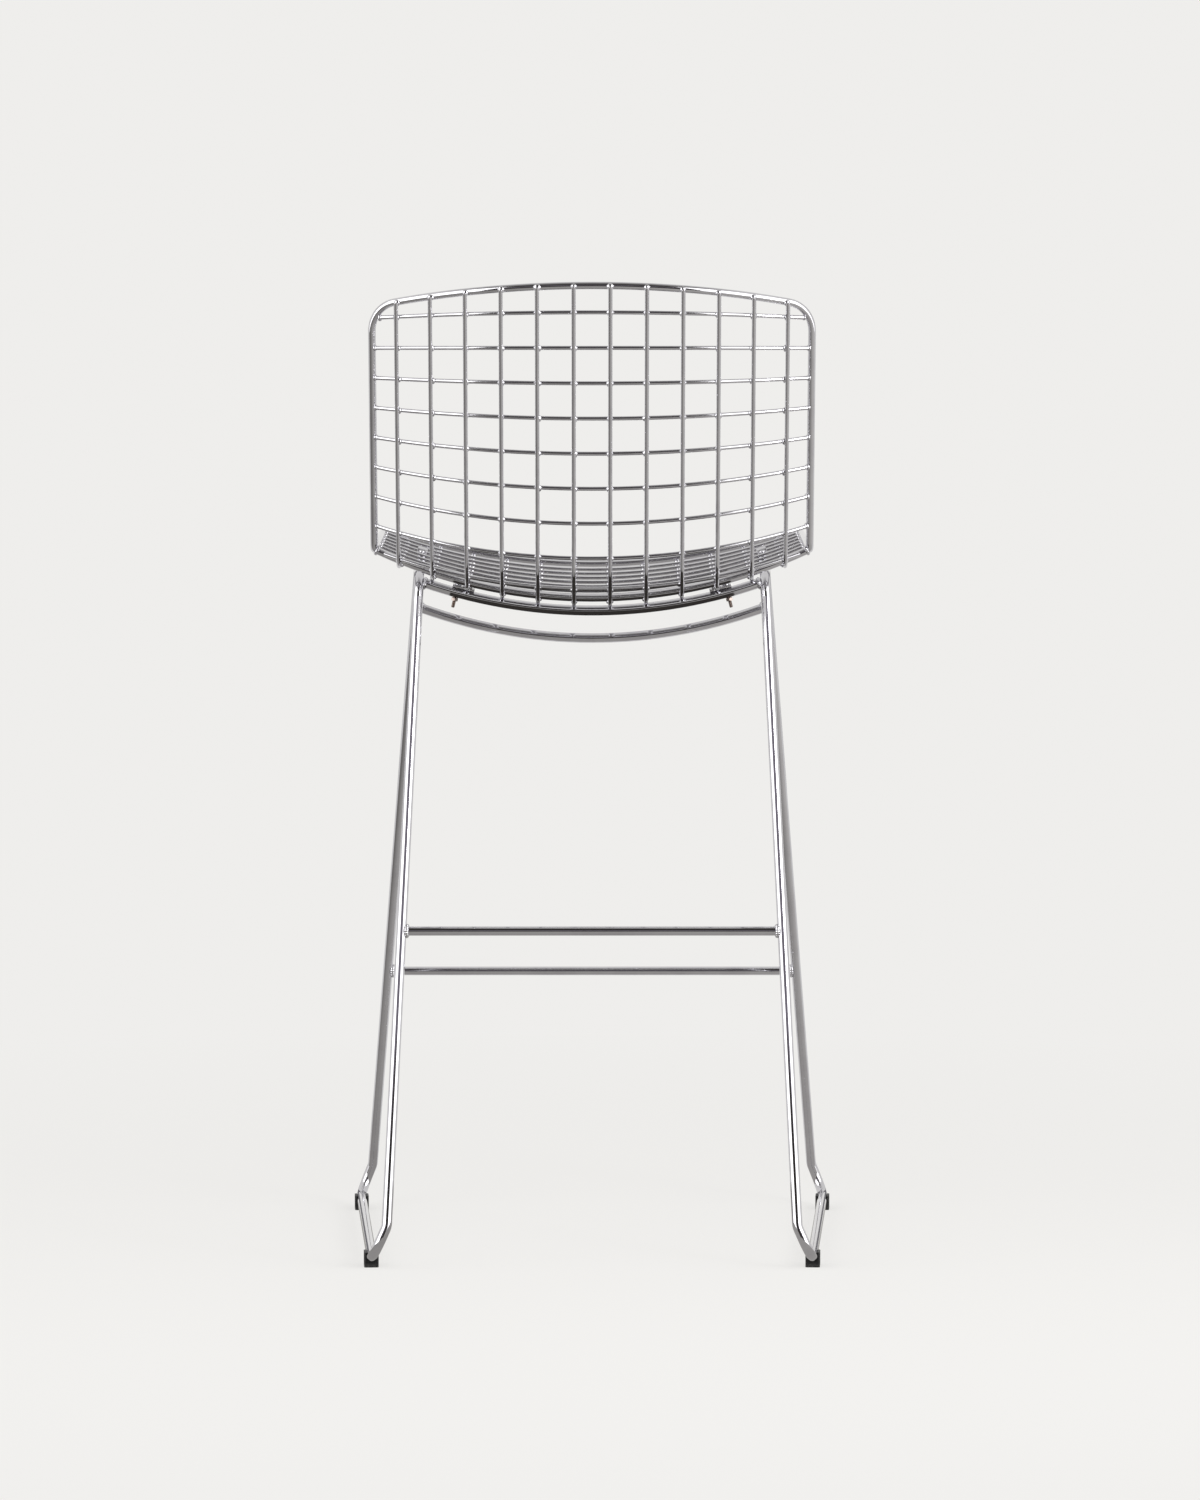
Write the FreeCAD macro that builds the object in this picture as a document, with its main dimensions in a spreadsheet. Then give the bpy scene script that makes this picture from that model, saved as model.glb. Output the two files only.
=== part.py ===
import FreeCAD, Part
import Sketcher
import math
import os

from FreeCAD import Placement, Rotation, Vector

# Wire-grid bar stool: a welded wire shell screwed to a base of bent rod.
# Millimetres, +Z up, the sitter faces -Y, the origin is on the floor under the middle of the base.
# The shell is laid out on one reference surface, which holds the axes of the rim and the rear rod.
# Long wires lie outside that surface, lapped on the rim; cross wires lie between, butted to the rim.

SIZES = (
    ("overall_height", 1050, "floor to the top of the back rim"),
    ("shell_half_width", 234.5, "middle of the stool to the axis of the side rim"),
    ("rim_diameter", 8, "rod of the shell's edge and of the rear rod"),
    ("wire_diameter", 4.5, "grid wire"),
    ("weld_gap", 0.3, "left between welded rods"),
    ("dish_radius", 550, "sideways curve of the back and of the crease"),
    ("crease_radius", 56, "bend between seat and back, in the middle plane"),
    ("crease_height", 711, "floor to the axis of the rear rod, in the middle plane"),
    ("crease_place", 120, "axis of the rear rod behind the middle of the base"),
    ("crease_corner_radius", 10, "bend of the rim between back and seat"),
    ("back_lean", 14, "degrees from upright"),
    ("top_corner_drop", 35, "corners of the back below the middle of its top, along the back"),
    ("top_corner_radius", 36, "bend of the rim at the top corners"),
    ("front_place", 200, "front edge of the seat ahead of the middle of the base"),
    ("front_height", 736, "floor to the axis of the front edge, in the middle plane"),
    ("front_corner_rise", 39, "front corners above the middle of the front edge"),
    ("front_corner_radius", 42, "bend of the rim at the front corners"),
    ("long_wire_inset", 28.9, "outermost long wire to the side rim, along the dish"),
    ("top_wire_inset", 28.6, "highest cross wire to the top rim, in the middle plane"),
    ("top_wire_side_inset", 12.8, "highest cross wire below the top corner, along the side rim"),
    ("low_wire_side_inset", 25, "lowest cross wire of the back above the crease, along the side rim"),
    ("frame_diameter", 11, "rod of the side frames and the crossbars"),
    ("footrest_diameter", 10, "rod of the footrests"),
    ("rail_share_rear", 0.338, "place of a rail between the two outermost long wires, at the rear"),
    ("rail_share_front", 0.503, "place of a rail between the two outermost long wires, at the front"),
    ("rear_leg_place", 114, "top of the rear legs behind the middle of the base"),
    ("front_leg_place", 130, "top of the front legs ahead of the middle of the base"),
    ("leg_bend_radius", 28, "bend between leg and rail"),
    ("knee_height", 47, "floor to the outward bend of the legs"),
    ("rear_knee_half", 218.6, "middle of the stool to the bend of the rear legs"),
    ("front_knee_half", 251, "middle of the stool to the bend of the front legs"),
    ("knee_radius", 20, "outward bend of the legs"),
    ("rear_foot_half", 234, "middle of the stool to the runner, at the rear"),
    ("front_foot_half", 265, "middle of the stool to the runner, at the front"),
    ("foot_place", 255, "ends of the runner from the middle of the base"),
    ("foot_radius", 22, "bend between leg and runner"),
    ("runner_height", 12.5, "floor to the axis of the runners"),
    ("rear_bar_place", 109, "rear crossbar behind the middle of the base"),
    ("front_bar_height", 691, "floor to the ends of the front crossbar"),
    ("rear_footrest_height", 357, "floor to the axis of the rear footrest"),
    ("front_footrest_height", 273, "floor to the axis of the front footrest"),
    ("glide_width", 15.5, "across the runner"),
    ("glide_length", 24, "along the runner"),
    ("glide_height", 16, "floor to the lips that snap over the rod"),
    ("glide_round", 2.5, "rounded upright edges of a glide"),
    ("clip_thickness", 2.5, "plate of a seat clip"),
    ("clip_depth", 11, "seat clip along the wire"),
    ("clip_reach", 16, "wire to the end of the clip that takes the screw"),
    ("clip_lip", 8, "wire to the other end of the clip"),
    ("screw_offset", 10.5, "wire to the screw"),
    ("screw_diameter", 4, "shank of a clip screw"),
    ("screw_clearance", 0.2, "round the shank in its holes"),
    ("screw_head_diameter", 7.5, "head of a clip screw"),
    ("screw_head_height", 2.6, "head of a clip screw"),
    ("screw_tail", 11, "screw below the rod that it goes through"),
    ("nut_circumradius", 4, "six-sided nut"),
    ("nut_height", 3.2, "nut along the screw"),
)
LONG_WIRES = 12
BACK_WIRES = 8
SEAT_WIRES = 7
CLIPPED_LONG_WIRES = (2, 9)
CLIPPED_SEAT_WIRE = 4
CORNER_RUN = 1.1  # length kept for a corner bend of the rim, in bend radii
WELD_STEPS = 6  # rounds in which a bar is lengthened to its carrier
WELD_SHARE = 0.8  # of the way left that each round takes, so that no bar runs into its carrier
SIDES = {"left": 1, "right": -1}
UPRIGHT = Vector(0, 0, 1)
ACROSS = Vector(1, 0, 0)

doc = FreeCAD.newDocument("bar_stool")
sheet = doc.addObject("Spreadsheet::Sheet", "Sizes")
for row, (alias, value, meaning) in enumerate(SIZES, start=1):
    sheet.set(f"A{row}", meaning)
    sheet.set(f"B{row}", str(value))
    sheet.setAlias(f"B{row}", alias)
doc.recompute()
size = {alias: float(getattr(sheet, alias)) for alias, value, meaning in SIZES}
parts = {}

rim_r = size["rim_diameter"] / 2
wire_r = size["wire_diameter"] / 2
frame_r = size["frame_diameter"] / 2
gap = size["weld_gap"]
half_width = size["shell_half_width"]
lean = math.radians(size["back_lean"])
back_up = Vector(0, math.sin(lean), math.cos(lean))
back_inward = Vector(0, -math.cos(lean), math.sin(lean))
bend_centre = Vector(0, size["crease_place"], size["crease_height"] + size["crease_radius"])

# Distances out of the reference surface, and from a rod of the base to the wire that lies on it
long_out = rim_r + wire_r + gap
cross_out = long_out - 2 * wire_r - gap
seat_stack = frame_r + wire_r + gap


def sag(radius, x):
    """Depth of an arc of this radius at the distance x from its crest."""
    return radius - math.sqrt(radius**2 - x**2)


def radius_through(x, depth):
    """Radius of the arc that is this deep at the distance x from its crest."""
    return (x**2 + depth**2) / (2 * depth)


def dish(x):
    """Depth of the shell's sideways curve."""
    return sag(size["dish_radius"], x)


def bend_reach(x, out):
    """Radius of the crease bend at x, on the surface that lies out of the reference surface."""
    return size["crease_radius"] + out - dish(x)


def back_point(x, run, out):
    """Point of the back at x, this run above the end of the crease bend."""
    return bend_centre + ACROSS * x + back_up * run - back_inward * bend_reach(x, out)


def corner_arc(x, depth, run):
    """Radius and end slope of the arc from a crest to a corner at x and depth, with a straight end run."""
    radius = (x**2 + depth**2 - run**2) / (2 * depth)
    slope = math.atan2(x, radius - depth) - math.atan2(run, radius)
    return radius, slope


# Top edge of the back: its plane holds the crest and both corners
top_run = size["overall_height"] - rim_r - bend_centre.z + size["crease_radius"] * math.sin(lean)
top_run /= math.cos(lean)
top_depth = math.hypot(dish(half_width), size["top_corner_drop"])
top_radius, top_slope = corner_arc(half_width, top_depth, CORNER_RUN * size["top_corner_radius"])
front_radius, front_slope = corner_arc(
    half_width, size["front_corner_rise"], CORNER_RUN * size["front_corner_radius"]
)

# Spacing of the cross wires round the crease and up the back, in the middle plane
back_pitch = size["crease_radius"] * (math.pi / 2 - lean) + top_run - size["top_wire_inset"]
back_pitch /= BACK_WIRES + 1


def top_edge_run(x):
    """Run of the back at x, from the crease bend to the axis of the top edge."""
    return top_run - sag(top_radius, x) * size["top_corner_drop"] / top_depth


def seat_line(x, out):
    """Front end, tilt and length of the seat's straight line at x, which ends on the crease bend."""
    front = Vector(x, -size["front_place"], size["front_height"] + sag(front_radius, x) - out)
    ahead = bend_centre.y - front.y
    below = bend_centre.z - front.z
    reach = bend_reach(x, out)
    tilt = math.asin(reach / math.hypot(ahead, below)) - math.atan2(below, ahead)
    run = math.sqrt(ahead**2 + below**2 - reach**2)
    return front, tilt, run


def seat_point(x, y, out):
    """Point of the seat at x and y."""
    front, tilt, run = seat_line(x, out)
    return Vector(x, y, front.z - (y - front.y) * math.tan(tilt))


def seat_radius(y, out):
    """Sideways curve of the seat at y."""
    depth = seat_point(half_width, y, out).z - seat_point(0, y, out).z
    return radius_through(half_width, depth)


def butt_half(radius):
    """Half width of an arc whose ends butt against the side rim."""
    end_turn = math.asin(half_width / radius)
    return half_width - (rim_r + gap) * math.cos(end_turn)


def weld_ends(bar, spread, half, carrier):
    """Lengthen a short bar until its ends are the weld gap from the rod that carries them."""
    for step in range(WELD_STEPS):
        spread(half)
        doc.recompute()
        half += WELD_SHARE * (bar.Shape.distToShape(carrier.Shape)[0] - gap)
    spread(half)


def arc_bar(name, crest, toward, radius, half, diameter, carrier=None):
    """Rod bent to one arc: its crest, the direction from there to the arc's centre, and its half width."""
    bar = doc.addObject("Part::Torus", name)
    bar.Radius1 = radius
    bar.setExpression("Radius2", f"Sizes.{diameter} / 2")
    outward = toward * -1
    facing = Rotation(outward, ACROSS, outward.cross(ACROSS), "XYZ")

    def spread(half):
        bar.Angle3 = 2 * math.degrees(math.asin(half / radius))
        centred = Rotation(UPRIGHT, -bar.Angle3.Value / 2)
        bar.Placement = Placement(crest + toward * radius, facing * centred)

    if carrier:
        weld_ends(bar, spread, half, carrier)
    else:
        spread(half)
    return bar


def add_part(label, item):
    """Give a finished sub-part its label and put it on the list to write."""
    item.Label = label
    parts[label] = item
    return item


def bent_rod(corners, radii, radius):
    """Closed loop of rod: straight runs between the corners, joined by tangent bends."""
    count = len(corners)
    bends = []
    for index in range(count):
        corner = corners[index]
        before = (corner - corners[index - 1]).normalize()
        after = (corners[(index + 1) % count] - corner).normalize()
        turn = before.getAngle(after)
        run = radii[index] * math.tan(turn / 2)
        axis = before.cross(after).normalize()
        start = corner - before * run
        centre = start + axis.cross(before) * radii[index]
        bends.append((start, before, centre, axis, math.degrees(turn), corner + after * run))
    pieces = []
    for index, (start, along, centre, axis, turn, end) in enumerate(bends):
        disc = Part.Face(Part.Wire(Part.makeCircle(radius, start, along)))
        pieces.append(disc.revolve(centre, axis, turn))
        straight = start - bends[index - 1][5]
        pieces.append(disc.extrude(straight * -1))
    return pieces[0].fuse(pieces[1:]).removeSplitter()


def loop_part(name, corners, radii, radius):
    """Document object of a closed loop of rod."""
    loop = doc.addObject("Part::Feature", name)
    loop.Shape = bent_rod(corners, radii, radius)
    return loop


def origin_plane(body, role):
    """One of a body's own origin planes."""
    return next(plane for plane in body.Origin.OriginFeatures if plane.Role == role)


def new_sketch(body, name, role):
    """Sketch on one of the body's own origin planes."""
    sketch = body.newObject("Sketcher::SketchObject", name)
    sketch.AttachmentSupport = [(origin_plane(body, role), "")]
    sketch.MapMode = "FlatFace"
    return sketch


def set_size(sketch, constraint, name, expression=None):
    """Add a named size to a sketch, tied to the sheet if it has an expression."""
    index = sketch.addConstraint(constraint)
    sketch.renameConstraint(index, name)
    if expression:
        sketch.setExpression(f"Constraints.{name}", expression)


def shell_rim():
    """Rod round the whole edge of the shell, from the top of the back to the front of the seat."""
    top_crest = back_point(0, top_run, 0)
    top_toward = back_inward * dish(half_width) - back_up * size["top_corner_drop"]
    top_toward.normalize()
    top_peak = top_crest - top_toward * (top_radius / math.cos(top_slope) - top_radius)
    top_corner = top_crest + top_toward * top_depth
    front_crest, tilt, run = seat_line(0, 0)
    front_peak = front_crest - UPRIGHT * (front_radius / math.cos(front_slope) - front_radius)
    front_corner = front_crest + UPRIGHT * size["front_corner_rise"]
    side_turn = math.pi / 2 - lean + seat_line(half_width, 0)[1]
    crease_corner = back_point(0, -bend_reach(half_width, 0) * math.tan(side_turn / 2), 0)
    crease_corner += back_inward * dish(half_width)
    side = ACROSS * half_width
    corners = [
        top_peak,
        top_corner + side,
        crease_corner + side,
        front_corner + side,
        front_peak,
        front_corner - side,
        crease_corner - side,
        top_corner - side,
    ]
    corner_radii = [size["top_corner_radius"], size["crease_corner_radius"], size["front_corner_radius"]]
    radii = [top_radius] + corner_radii + [front_radius] + corner_radii[::-1]
    add_part("shell_rim", loop_part("Rim", corners, radii, rim_r))


def seat_rear_rod():
    """Rod along the crease, from one lower corner of the back to the other."""
    crest = bend_centre - UPRIGHT * size["crease_radius"]
    half = half_width - 2 * size["rim_diameter"]
    rod = arc_bar("RearRod", crest, UPRIGHT, size["dish_radius"], half, "rim_diameter", parts["shell_rim"])
    add_part("seat_rear_rod", rod)


def long_wire_place(number):
    """Distance of a long wire from the middle plane."""
    outermost = math.asin(half_width / size["dish_radius"]) - size["long_wire_inset"] / size["dish_radius"]
    return size["dish_radius"] * math.sin(outermost * (2 * number / (LONG_WIRES - 1) - 1))


def long_wire(number):
    """Wire that runs from the front edge under the seat, round the crease and up the back."""
    x = long_wire_place(number)
    front, tilt, seat_run = seat_line(x, long_out)
    bend = bend_reach(x, long_out)
    turn = math.pi / 2 - lean + tilt
    back_run = top_edge_run(x)
    label = f"long_wire_{number + 1:02d}"
    body = doc.addObject("PartDesign::Body", f"LongWire{number + 1:02d}")
    up = Vector(0, math.sin(tilt), math.cos(tilt))
    rearward = Vector(0, math.cos(tilt), -math.sin(tilt))
    body.Placement = Placement(front, Rotation(up.cross(rearward), up, rearward, "ZYX"))

    route = new_sketch(body, f"Route{number + 1:02d}", "YZ_Plane")
    bend_end = Vector(bend * (1 - math.cos(turn)), seat_run + bend * math.sin(turn), 0)
    back_end = bend_end + Vector(math.sin(turn), math.cos(turn), 0) * back_run
    bend_circle = Part.Circle(Vector(bend, seat_run, 0), UPRIGHT, bend)
    route.addGeometry(Part.LineSegment(Vector(0, 0, 0), Vector(0, seat_run, 0)))
    route.addGeometry(Part.ArcOfCircle(bend_circle, math.pi - turn, math.pi))
    route.addGeometry(Part.LineSegment(bend_end, back_end))
    route.addConstraint(Sketcher.Constraint("Coincident", 0, 1, -1, 1))
    route.addConstraint(Sketcher.Constraint("Vertical", 0))
    route.addConstraint(Sketcher.Constraint("Tangent", 0, 2, 1, 2))
    route.addConstraint(Sketcher.Constraint("Tangent", 1, 1, 2, 1))
    set_size(route, Sketcher.Constraint("Distance", 0, seat_run), "seat_run")
    set_size(route, Sketcher.Constraint("Radius", 1, bend), "bend")
    set_size(route, Sketcher.Constraint("Distance", 2, back_run), "back_run")
    set_size(route, Sketcher.Constraint("Angle", -1, 1, 2, 1, math.pi / 2 - turn), "rise")

    section = new_sketch(body, f"Section{number + 1:02d}", "XY_Plane")
    section.addGeometry(Part.Circle(Vector(0, 0, 0), UPRIGHT, wire_r))
    section.addConstraint(Sketcher.Constraint("Coincident", 0, 3, -1, 1))
    set_size(section, Sketcher.Constraint("Diameter", 0, 2 * wire_r), "across", "Sizes.wire_diameter")

    wire = body.newObject("PartDesign::AdditivePipe", f"Wire{number + 1:02d}")
    wire.Profile = section
    wire.Spine = (route, ["Edge1", "Edge2", "Edge3"])
    add_part(label, body)


def back_wires():
    """Cross wires of the back, spread evenly in the middle plane and along the side rims."""
    highest = top_run - size["top_corner_drop"] - size["top_wire_side_inset"]
    lowest = size["low_wire_side_inset"]
    half = half_width - 2 * size["rim_diameter"]
    for number in range(BACK_WIRES):
        crest = back_point(0, top_run - size["top_wire_inset"] - number * back_pitch, cross_out)
        side_run = highest + (lowest - highest) * number / (BACK_WIRES - 1)
        side = back_point(half_width, side_run, cross_out)
        toward = Vector(0, side.y - crest.y, side.z - crest.z)
        radius = radius_through(half_width, toward.Length)
        toward.normalize()
        name = f"BackWire{number + 1:02d}"
        wire = arc_bar(name, crest, toward, radius, half, "wire_diameter", parts["shell_rim"])
        add_part(f"back_wire_{number + 1:02d}", wire)


def crease_wire():
    """Cross wire in the middle of the crease bend, whose ends run in beside the rear rod."""
    angle = back_pitch / size["crease_radius"]
    toward = Vector(0, -math.sin(angle), math.cos(angle))
    crest = bend_centre - toward * (size["crease_radius"] + cross_out)
    # The wire ends where its bend radius brings it up to the rear rod, or at the side rim
    spread = 2 * (1 - math.cos(angle))
    apart = rim_r + wire_r + gap
    end_reach = (math.sqrt((spread * cross_out) ** 2 + 4 * spread * (apart**2 - cross_out**2))
                 - spread * cross_out) / (2 * spread)
    end_depth = size["crease_radius"] - end_reach
    half = math.sqrt(2 * size["dish_radius"] * end_depth - end_depth**2)
    half = min(half, butt_half(size["dish_radius"]))
    add_part("crease_wire", arc_bar("CreaseWire", crest, toward, size["dish_radius"], half, "wire_diameter"))


def seat_wire_place(number):
    """Distance of a seat wire behind the middle of the base."""
    pitch = (size["crease_place"] + size["front_place"]) / (SEAT_WIRES + 1)
    return size["crease_place"] - (number + 1) * pitch


def seat_wires():
    """Cross wires of the seat, from the rear rod to the front edge."""
    for number in range(SEAT_WIRES):
        y = seat_wire_place(number)
        crest = seat_point(0, y, cross_out)
        radius = seat_radius(y, cross_out)
        name = f"SeatWire{number + 1:02d}"
        wire = arc_bar(name, crest, UPRIGHT, radius, butt_half(radius), "wire_diameter")
        add_part(f"seat_wire_{number + 1:02d}", wire)


def rail_half(share):
    """Distance of a rail from the middle plane, at this share of the way to the outermost long wire."""
    outer = long_wire_place(LONG_WIRES - 1)
    inner = long_wire_place(LONG_WIRES - 2)
    return inner + (outer - inner) * share


def rail_point(x, y):
    """Axis of a rail under the seat wires."""
    turn = math.asin(x / seat_radius(y, cross_out))
    up = Vector(-math.sin(turn), 0, math.cos(turn))
    return seat_point(x, y, cross_out) - up * seat_stack


def leg_lines(side):
    """Top corner, knee and foot corner of the rear and the front leg of one side."""
    legs = {}
    for end, sign in (("rear", 1), ("front", -1)):
        top = rail_point(rail_half(size[f"rail_share_{end}"]), sign * size[f"{end}_leg_place"])
        foot = Vector(size[f"{end}_foot_half"], sign * size["foot_place"], size["runner_height"])
        share = (size["knee_height"] - foot.z) / (top.z - foot.z)
        knee_y = foot.y + (top.y - foot.y) * share
        knee = Vector(size[f"{end}_knee_half"], knee_y, size["knee_height"])
        legs[end] = [Vector(side * point.x, point.y, point.z) for point in (top, knee, foot)]
    return legs


def leg_point(end, side, height):
    """Axis of a leg at a height above the floor."""
    top, knee, foot = leg_lines(side)[end]
    return top + (knee - top) * ((top.z - height) / (top.z - knee.z))


def rear_bar_arc():
    """Centre and radius of the rear crossbar, which lies against the long wires."""
    y = size["rear_bar_place"]
    wires_radius = seat_radius(y, long_out)
    return seat_point(0, y, long_out) + UPRIGHT * wires_radius, wires_radius + seat_stack


def clip_places():
    """Placement of each seat clip: X along the rod, Y along the wire, Z away from the rod."""
    places = {}
    centre, radius = rear_bar_arc()
    for side_name, number in zip(("right", "left"), CLIPPED_LONG_WIRES):
        x = long_wire_place(number)
        turn = math.asin(x / (radius - seat_stack))
        tilt = seat_line(x, long_out)[1]
        up = Vector(-math.sin(turn), 0, math.cos(turn))
        outward = Vector(math.cos(turn), 0, math.sin(turn)) * SIDES[side_name]
        along_wire = Vector(0, math.cos(tilt), -math.sin(tilt)) * SIDES[side_name]
        facing = Rotation(outward, along_wire, up, "XYZ")
        places[f"rear_{side_name}"] = Placement(centre - up * radius, facing)
    y = seat_wire_place(CLIPPED_SEAT_WIRE)
    rear_y = size["rear_leg_place"]
    share = (rear_y - y) / (rear_y + size["front_leg_place"])
    share_there = size["rail_share_rear"] + (size["rail_share_front"] - size["rail_share_rear"]) * share
    x = rail_half(share_there)
    turn = math.asin(x / seat_radius(y, cross_out))
    for side_name, side in SIDES.items():
        legs = leg_lines(side)
        rearward = (legs["rear"][0] - legs["front"][0]).normalize()
        along_wire = Vector(-math.cos(turn), 0, -side * math.sin(turn))
        up = rearward.cross(along_wire).normalize()
        facing = Rotation(rearward, along_wire, up, "ZYX")
        places[f"front_{side_name}"] = Placement(seat_point(side * x, y, cross_out) - up * seat_stack, facing)
    return places


def screw_holes(name, base, places):
    """Drill a rod for the clip screws at these clips, one hole after another."""
    for index, place in enumerate(places):
        drill = doc.addObject("Part::Cylinder", f"{name}Drill{index + 1}")
        drill.setExpression("Radius", "Sizes.screw_diameter / 2 + Sizes.screw_clearance")
        drill.Height = 4 * frame_r
        drill.Placement = place * Placement(Vector(size["screw_offset"], 0, -2 * frame_r), Rotation())
        drilled = doc.addObject("Part::Cut", f"{name}Drilled{index + 1}")
        drilled.Base = base
        drilled.Tool = drill
        base = drilled
    return base


def side_frames(places):
    """Both side frames: rear leg, rail under the seat, front leg and floor runner in one loop."""
    leg_radii = [size["leg_bend_radius"], size["knee_radius"], size["foot_radius"]]
    for side_name, side in SIDES.items():
        legs = leg_lines(side)
        corners = legs["rear"] + legs["front"][::-1]
        name = f"SideFrame{side_name.capitalize()}"
        loop = loop_part(name, corners, leg_radii + leg_radii[::-1], frame_r)
        add_part(f"side_frame_{side_name}", screw_holes(name, loop, [places[f"front_{side_name}"]]))


def crossbars(places):
    """Curved bar that carries the shell at the rear, and the brace between the front legs."""
    centre, radius = rear_bar_arc()
    crest = centre - UPRIGHT * radius
    # The end slants, so its lower edge reaches further out to the leg than its middle
    leg = leg_lines(1)["rear"][0]
    half = leg.x - frame_r * (1 + leg.x / radius) - gap
    rear = arc_bar("RearCrossbar", crest, UPRIGHT, radius, half, "frame_diameter")
    rear_places = [places["rear_left"], places["rear_right"]]
    add_part("rear_crossbar", screw_holes("RearCrossbar", rear, rear_places))

    end = leg_point("front", 1, size["front_bar_height"])
    crest = Vector(0, end.y, end.z - sag(radius, end.x))
    half = end.x - 2 * size["frame_diameter"]
    frame = parts["side_frame_left"]
    front = arc_bar("FrontCrossbar", crest, UPRIGHT, radius, half, "frame_diameter", frame)
    add_part("front_crossbar", front)


def footrests():
    """Straight bars between the rear legs and between the front legs."""
    for end in ("rear", "front"):
        spot = leg_point(end, 1, size[f"{end}_footrest_height"])
        bar = doc.addObject("Part::Cylinder", f"{end.capitalize()}Footrest")
        bar.setExpression("Radius", "Sizes.footrest_diameter / 2")

        def spread(half):
            bar.Height = 2 * half
            bar.Placement = Placement(Vector(-half, spot.y, spot.z), Rotation(UPRIGHT, ACROSS))

        weld_ends(bar, spread, spot.x - 2 * size["frame_diameter"], parts["side_frame_left"])
        add_part(f"{end}_footrest", bar)


def glide_spot(legs, end, other):
    """Axis of the runner at the middle of a glide, which starts where the bend to the leg ends."""
    top, knee, foot = legs[end]
    along = (legs[other][2] - foot).normalize()
    turn = (foot - knee).getAngle(along)
    bend_run = size["foot_radius"] * math.tan(turn / 2)
    return foot + along * (bend_run + gap + size["glide_length"] / 2), along


def glides():
    """Floor glides: blocks with a groove that snaps up over the runner from below."""
    for side_name, side in SIDES.items():
        legs = leg_lines(side)
        for end, other in (("rear", "front"), ("front", "rear")):
            spot, along = glide_spot(legs, end, other)
            label = f"glide_{end}_{side_name}"
            name = f"Glide{end.capitalize()}{side_name.capitalize()}"
            facing = Rotation(ACROSS, along, UPRIGHT, "ZYX")
            block = doc.addObject("Part::Box", f"{name}Block")
            block.setExpression("Length", "Sizes.glide_width")
            block.setExpression("Width", "Sizes.glide_length")
            block.setExpression("Height", "Sizes.glide_height")
            corner = Vector(-size["glide_width"] / 2, -size["glide_length"] / 2, -spot.z)
            block.Placement = Placement(spot, facing) * Placement(corner, Rotation())
            doc.recompute()
            round_edges = [
                (index, size["glide_round"], size["glide_round"])
                for index, edge in enumerate(block.Shape.Edges, start=1)
                if abs(edge.tangentAt(0).z) > 0.9
            ]
            rounded = doc.addObject("Part::Fillet", f"{name}Rounded")
            rounded.Base = block
            rounded.Edges = round_edges
            groove = doc.addObject("Part::Cylinder", f"{name}Groove")
            groove.setExpression("Radius", "Sizes.frame_diameter / 2 + Sizes.weld_gap")
            groove.setExpression("Height", "Sizes.glide_length * 2")
            groove.Placement = Placement(spot - along * size["glide_length"], Rotation(UPRIGHT, along))
            glide = doc.addObject("Part::Cut", name)
            glide.Base = rounded
            glide.Tool = groove
            add_part(label, glide)


def seat_clip(label, place):
    """Pressed plate with a half-round hump over the wire and a hole for its screw."""
    foot = frame_r + gap
    foot_top = foot + size["clip_thickness"]
    wire_height = frame_r + gap + wire_r
    inner = wire_r + gap
    outer = inner + size["clip_thickness"]
    rise = foot_top - wire_height
    shoulder = math.sqrt(outer**2 - rise**2)
    shoulder_angle = math.asin(rise / outer)

    name = "".join(word.capitalize() for word in label.split("_"))
    body = doc.addObject("PartDesign::Body", name)
    body.Placement = place
    profile = new_sketch(body, f"{name}Profile", "XZ_Plane")
    hump = Vector(0, wire_height, 0)
    outline = [
        Vector(-inner, wire_height, 0),
        Vector(-inner, foot, 0),
        Vector(-size["clip_lip"], foot, 0),
        Vector(-size["clip_lip"], foot_top, 0),
        Vector(-shoulder, foot_top, 0),
    ]
    mirrored = [Vector(-point.x, point.y, 0) for point in outline]
    mirrored[2].x = size["clip_reach"]
    mirrored[3].x = size["clip_reach"]
    for start, end in list(zip(outline, outline[1:])) + list(zip(mirrored, mirrored[1:])):
        profile.addGeometry(Part.LineSegment(start, end))
    profile.addGeometry(Part.ArcOfCircle(Part.Circle(hump, UPRIGHT, inner), 0, math.pi))
    profile.addGeometry(
        Part.ArcOfCircle(Part.Circle(hump, UPRIGHT, outer), shoulder_angle, math.pi - shoulder_angle)
    )
    for index in range(profile.GeometryCount):
        profile.addConstraint(Sketcher.Constraint("Block", index))

    plate = body.newObject("PartDesign::Pad", f"{name}Plate")
    plate.Profile = profile
    plate.SideType = "Symmetric"
    plate.setExpression("Length", "Sizes.clip_depth")

    hole = new_sketch(body, f"{name}Hole", "XY_Plane")
    hole.addGeometry(Part.Circle(Vector(size["screw_offset"], 0, 0), UPRIGHT, size["screw_diameter"] / 2))
    hole.addConstraint(Sketcher.Constraint("PointOnObject", 0, 3, -1))
    set_size(hole, Sketcher.Constraint("DistanceX", -1, 1, 0, 3, size["screw_offset"]), "offset",
             "Sizes.screw_offset")
    set_size(hole, Sketcher.Constraint("Diameter", 0, size["screw_diameter"]), "across",
             "Sizes.screw_diameter + 2 * Sizes.screw_clearance")
    doc.recompute()
    pocket = body.newObject("PartDesign::Pocket", f"{name}Pocket")
    pocket.Profile = hole
    pocket.Type = "ThroughAll"
    pocket.Reversed = True
    add_part(label, body)


def cylinder(name, radius, height, place):
    """Cylinder whose sizes are expressions of the sheet."""
    item = doc.addObject("Part::Cylinder", name)
    item.setExpression("Radius", radius)
    item.setExpression("Height", height)
    item.Placement = place
    return item


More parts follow.
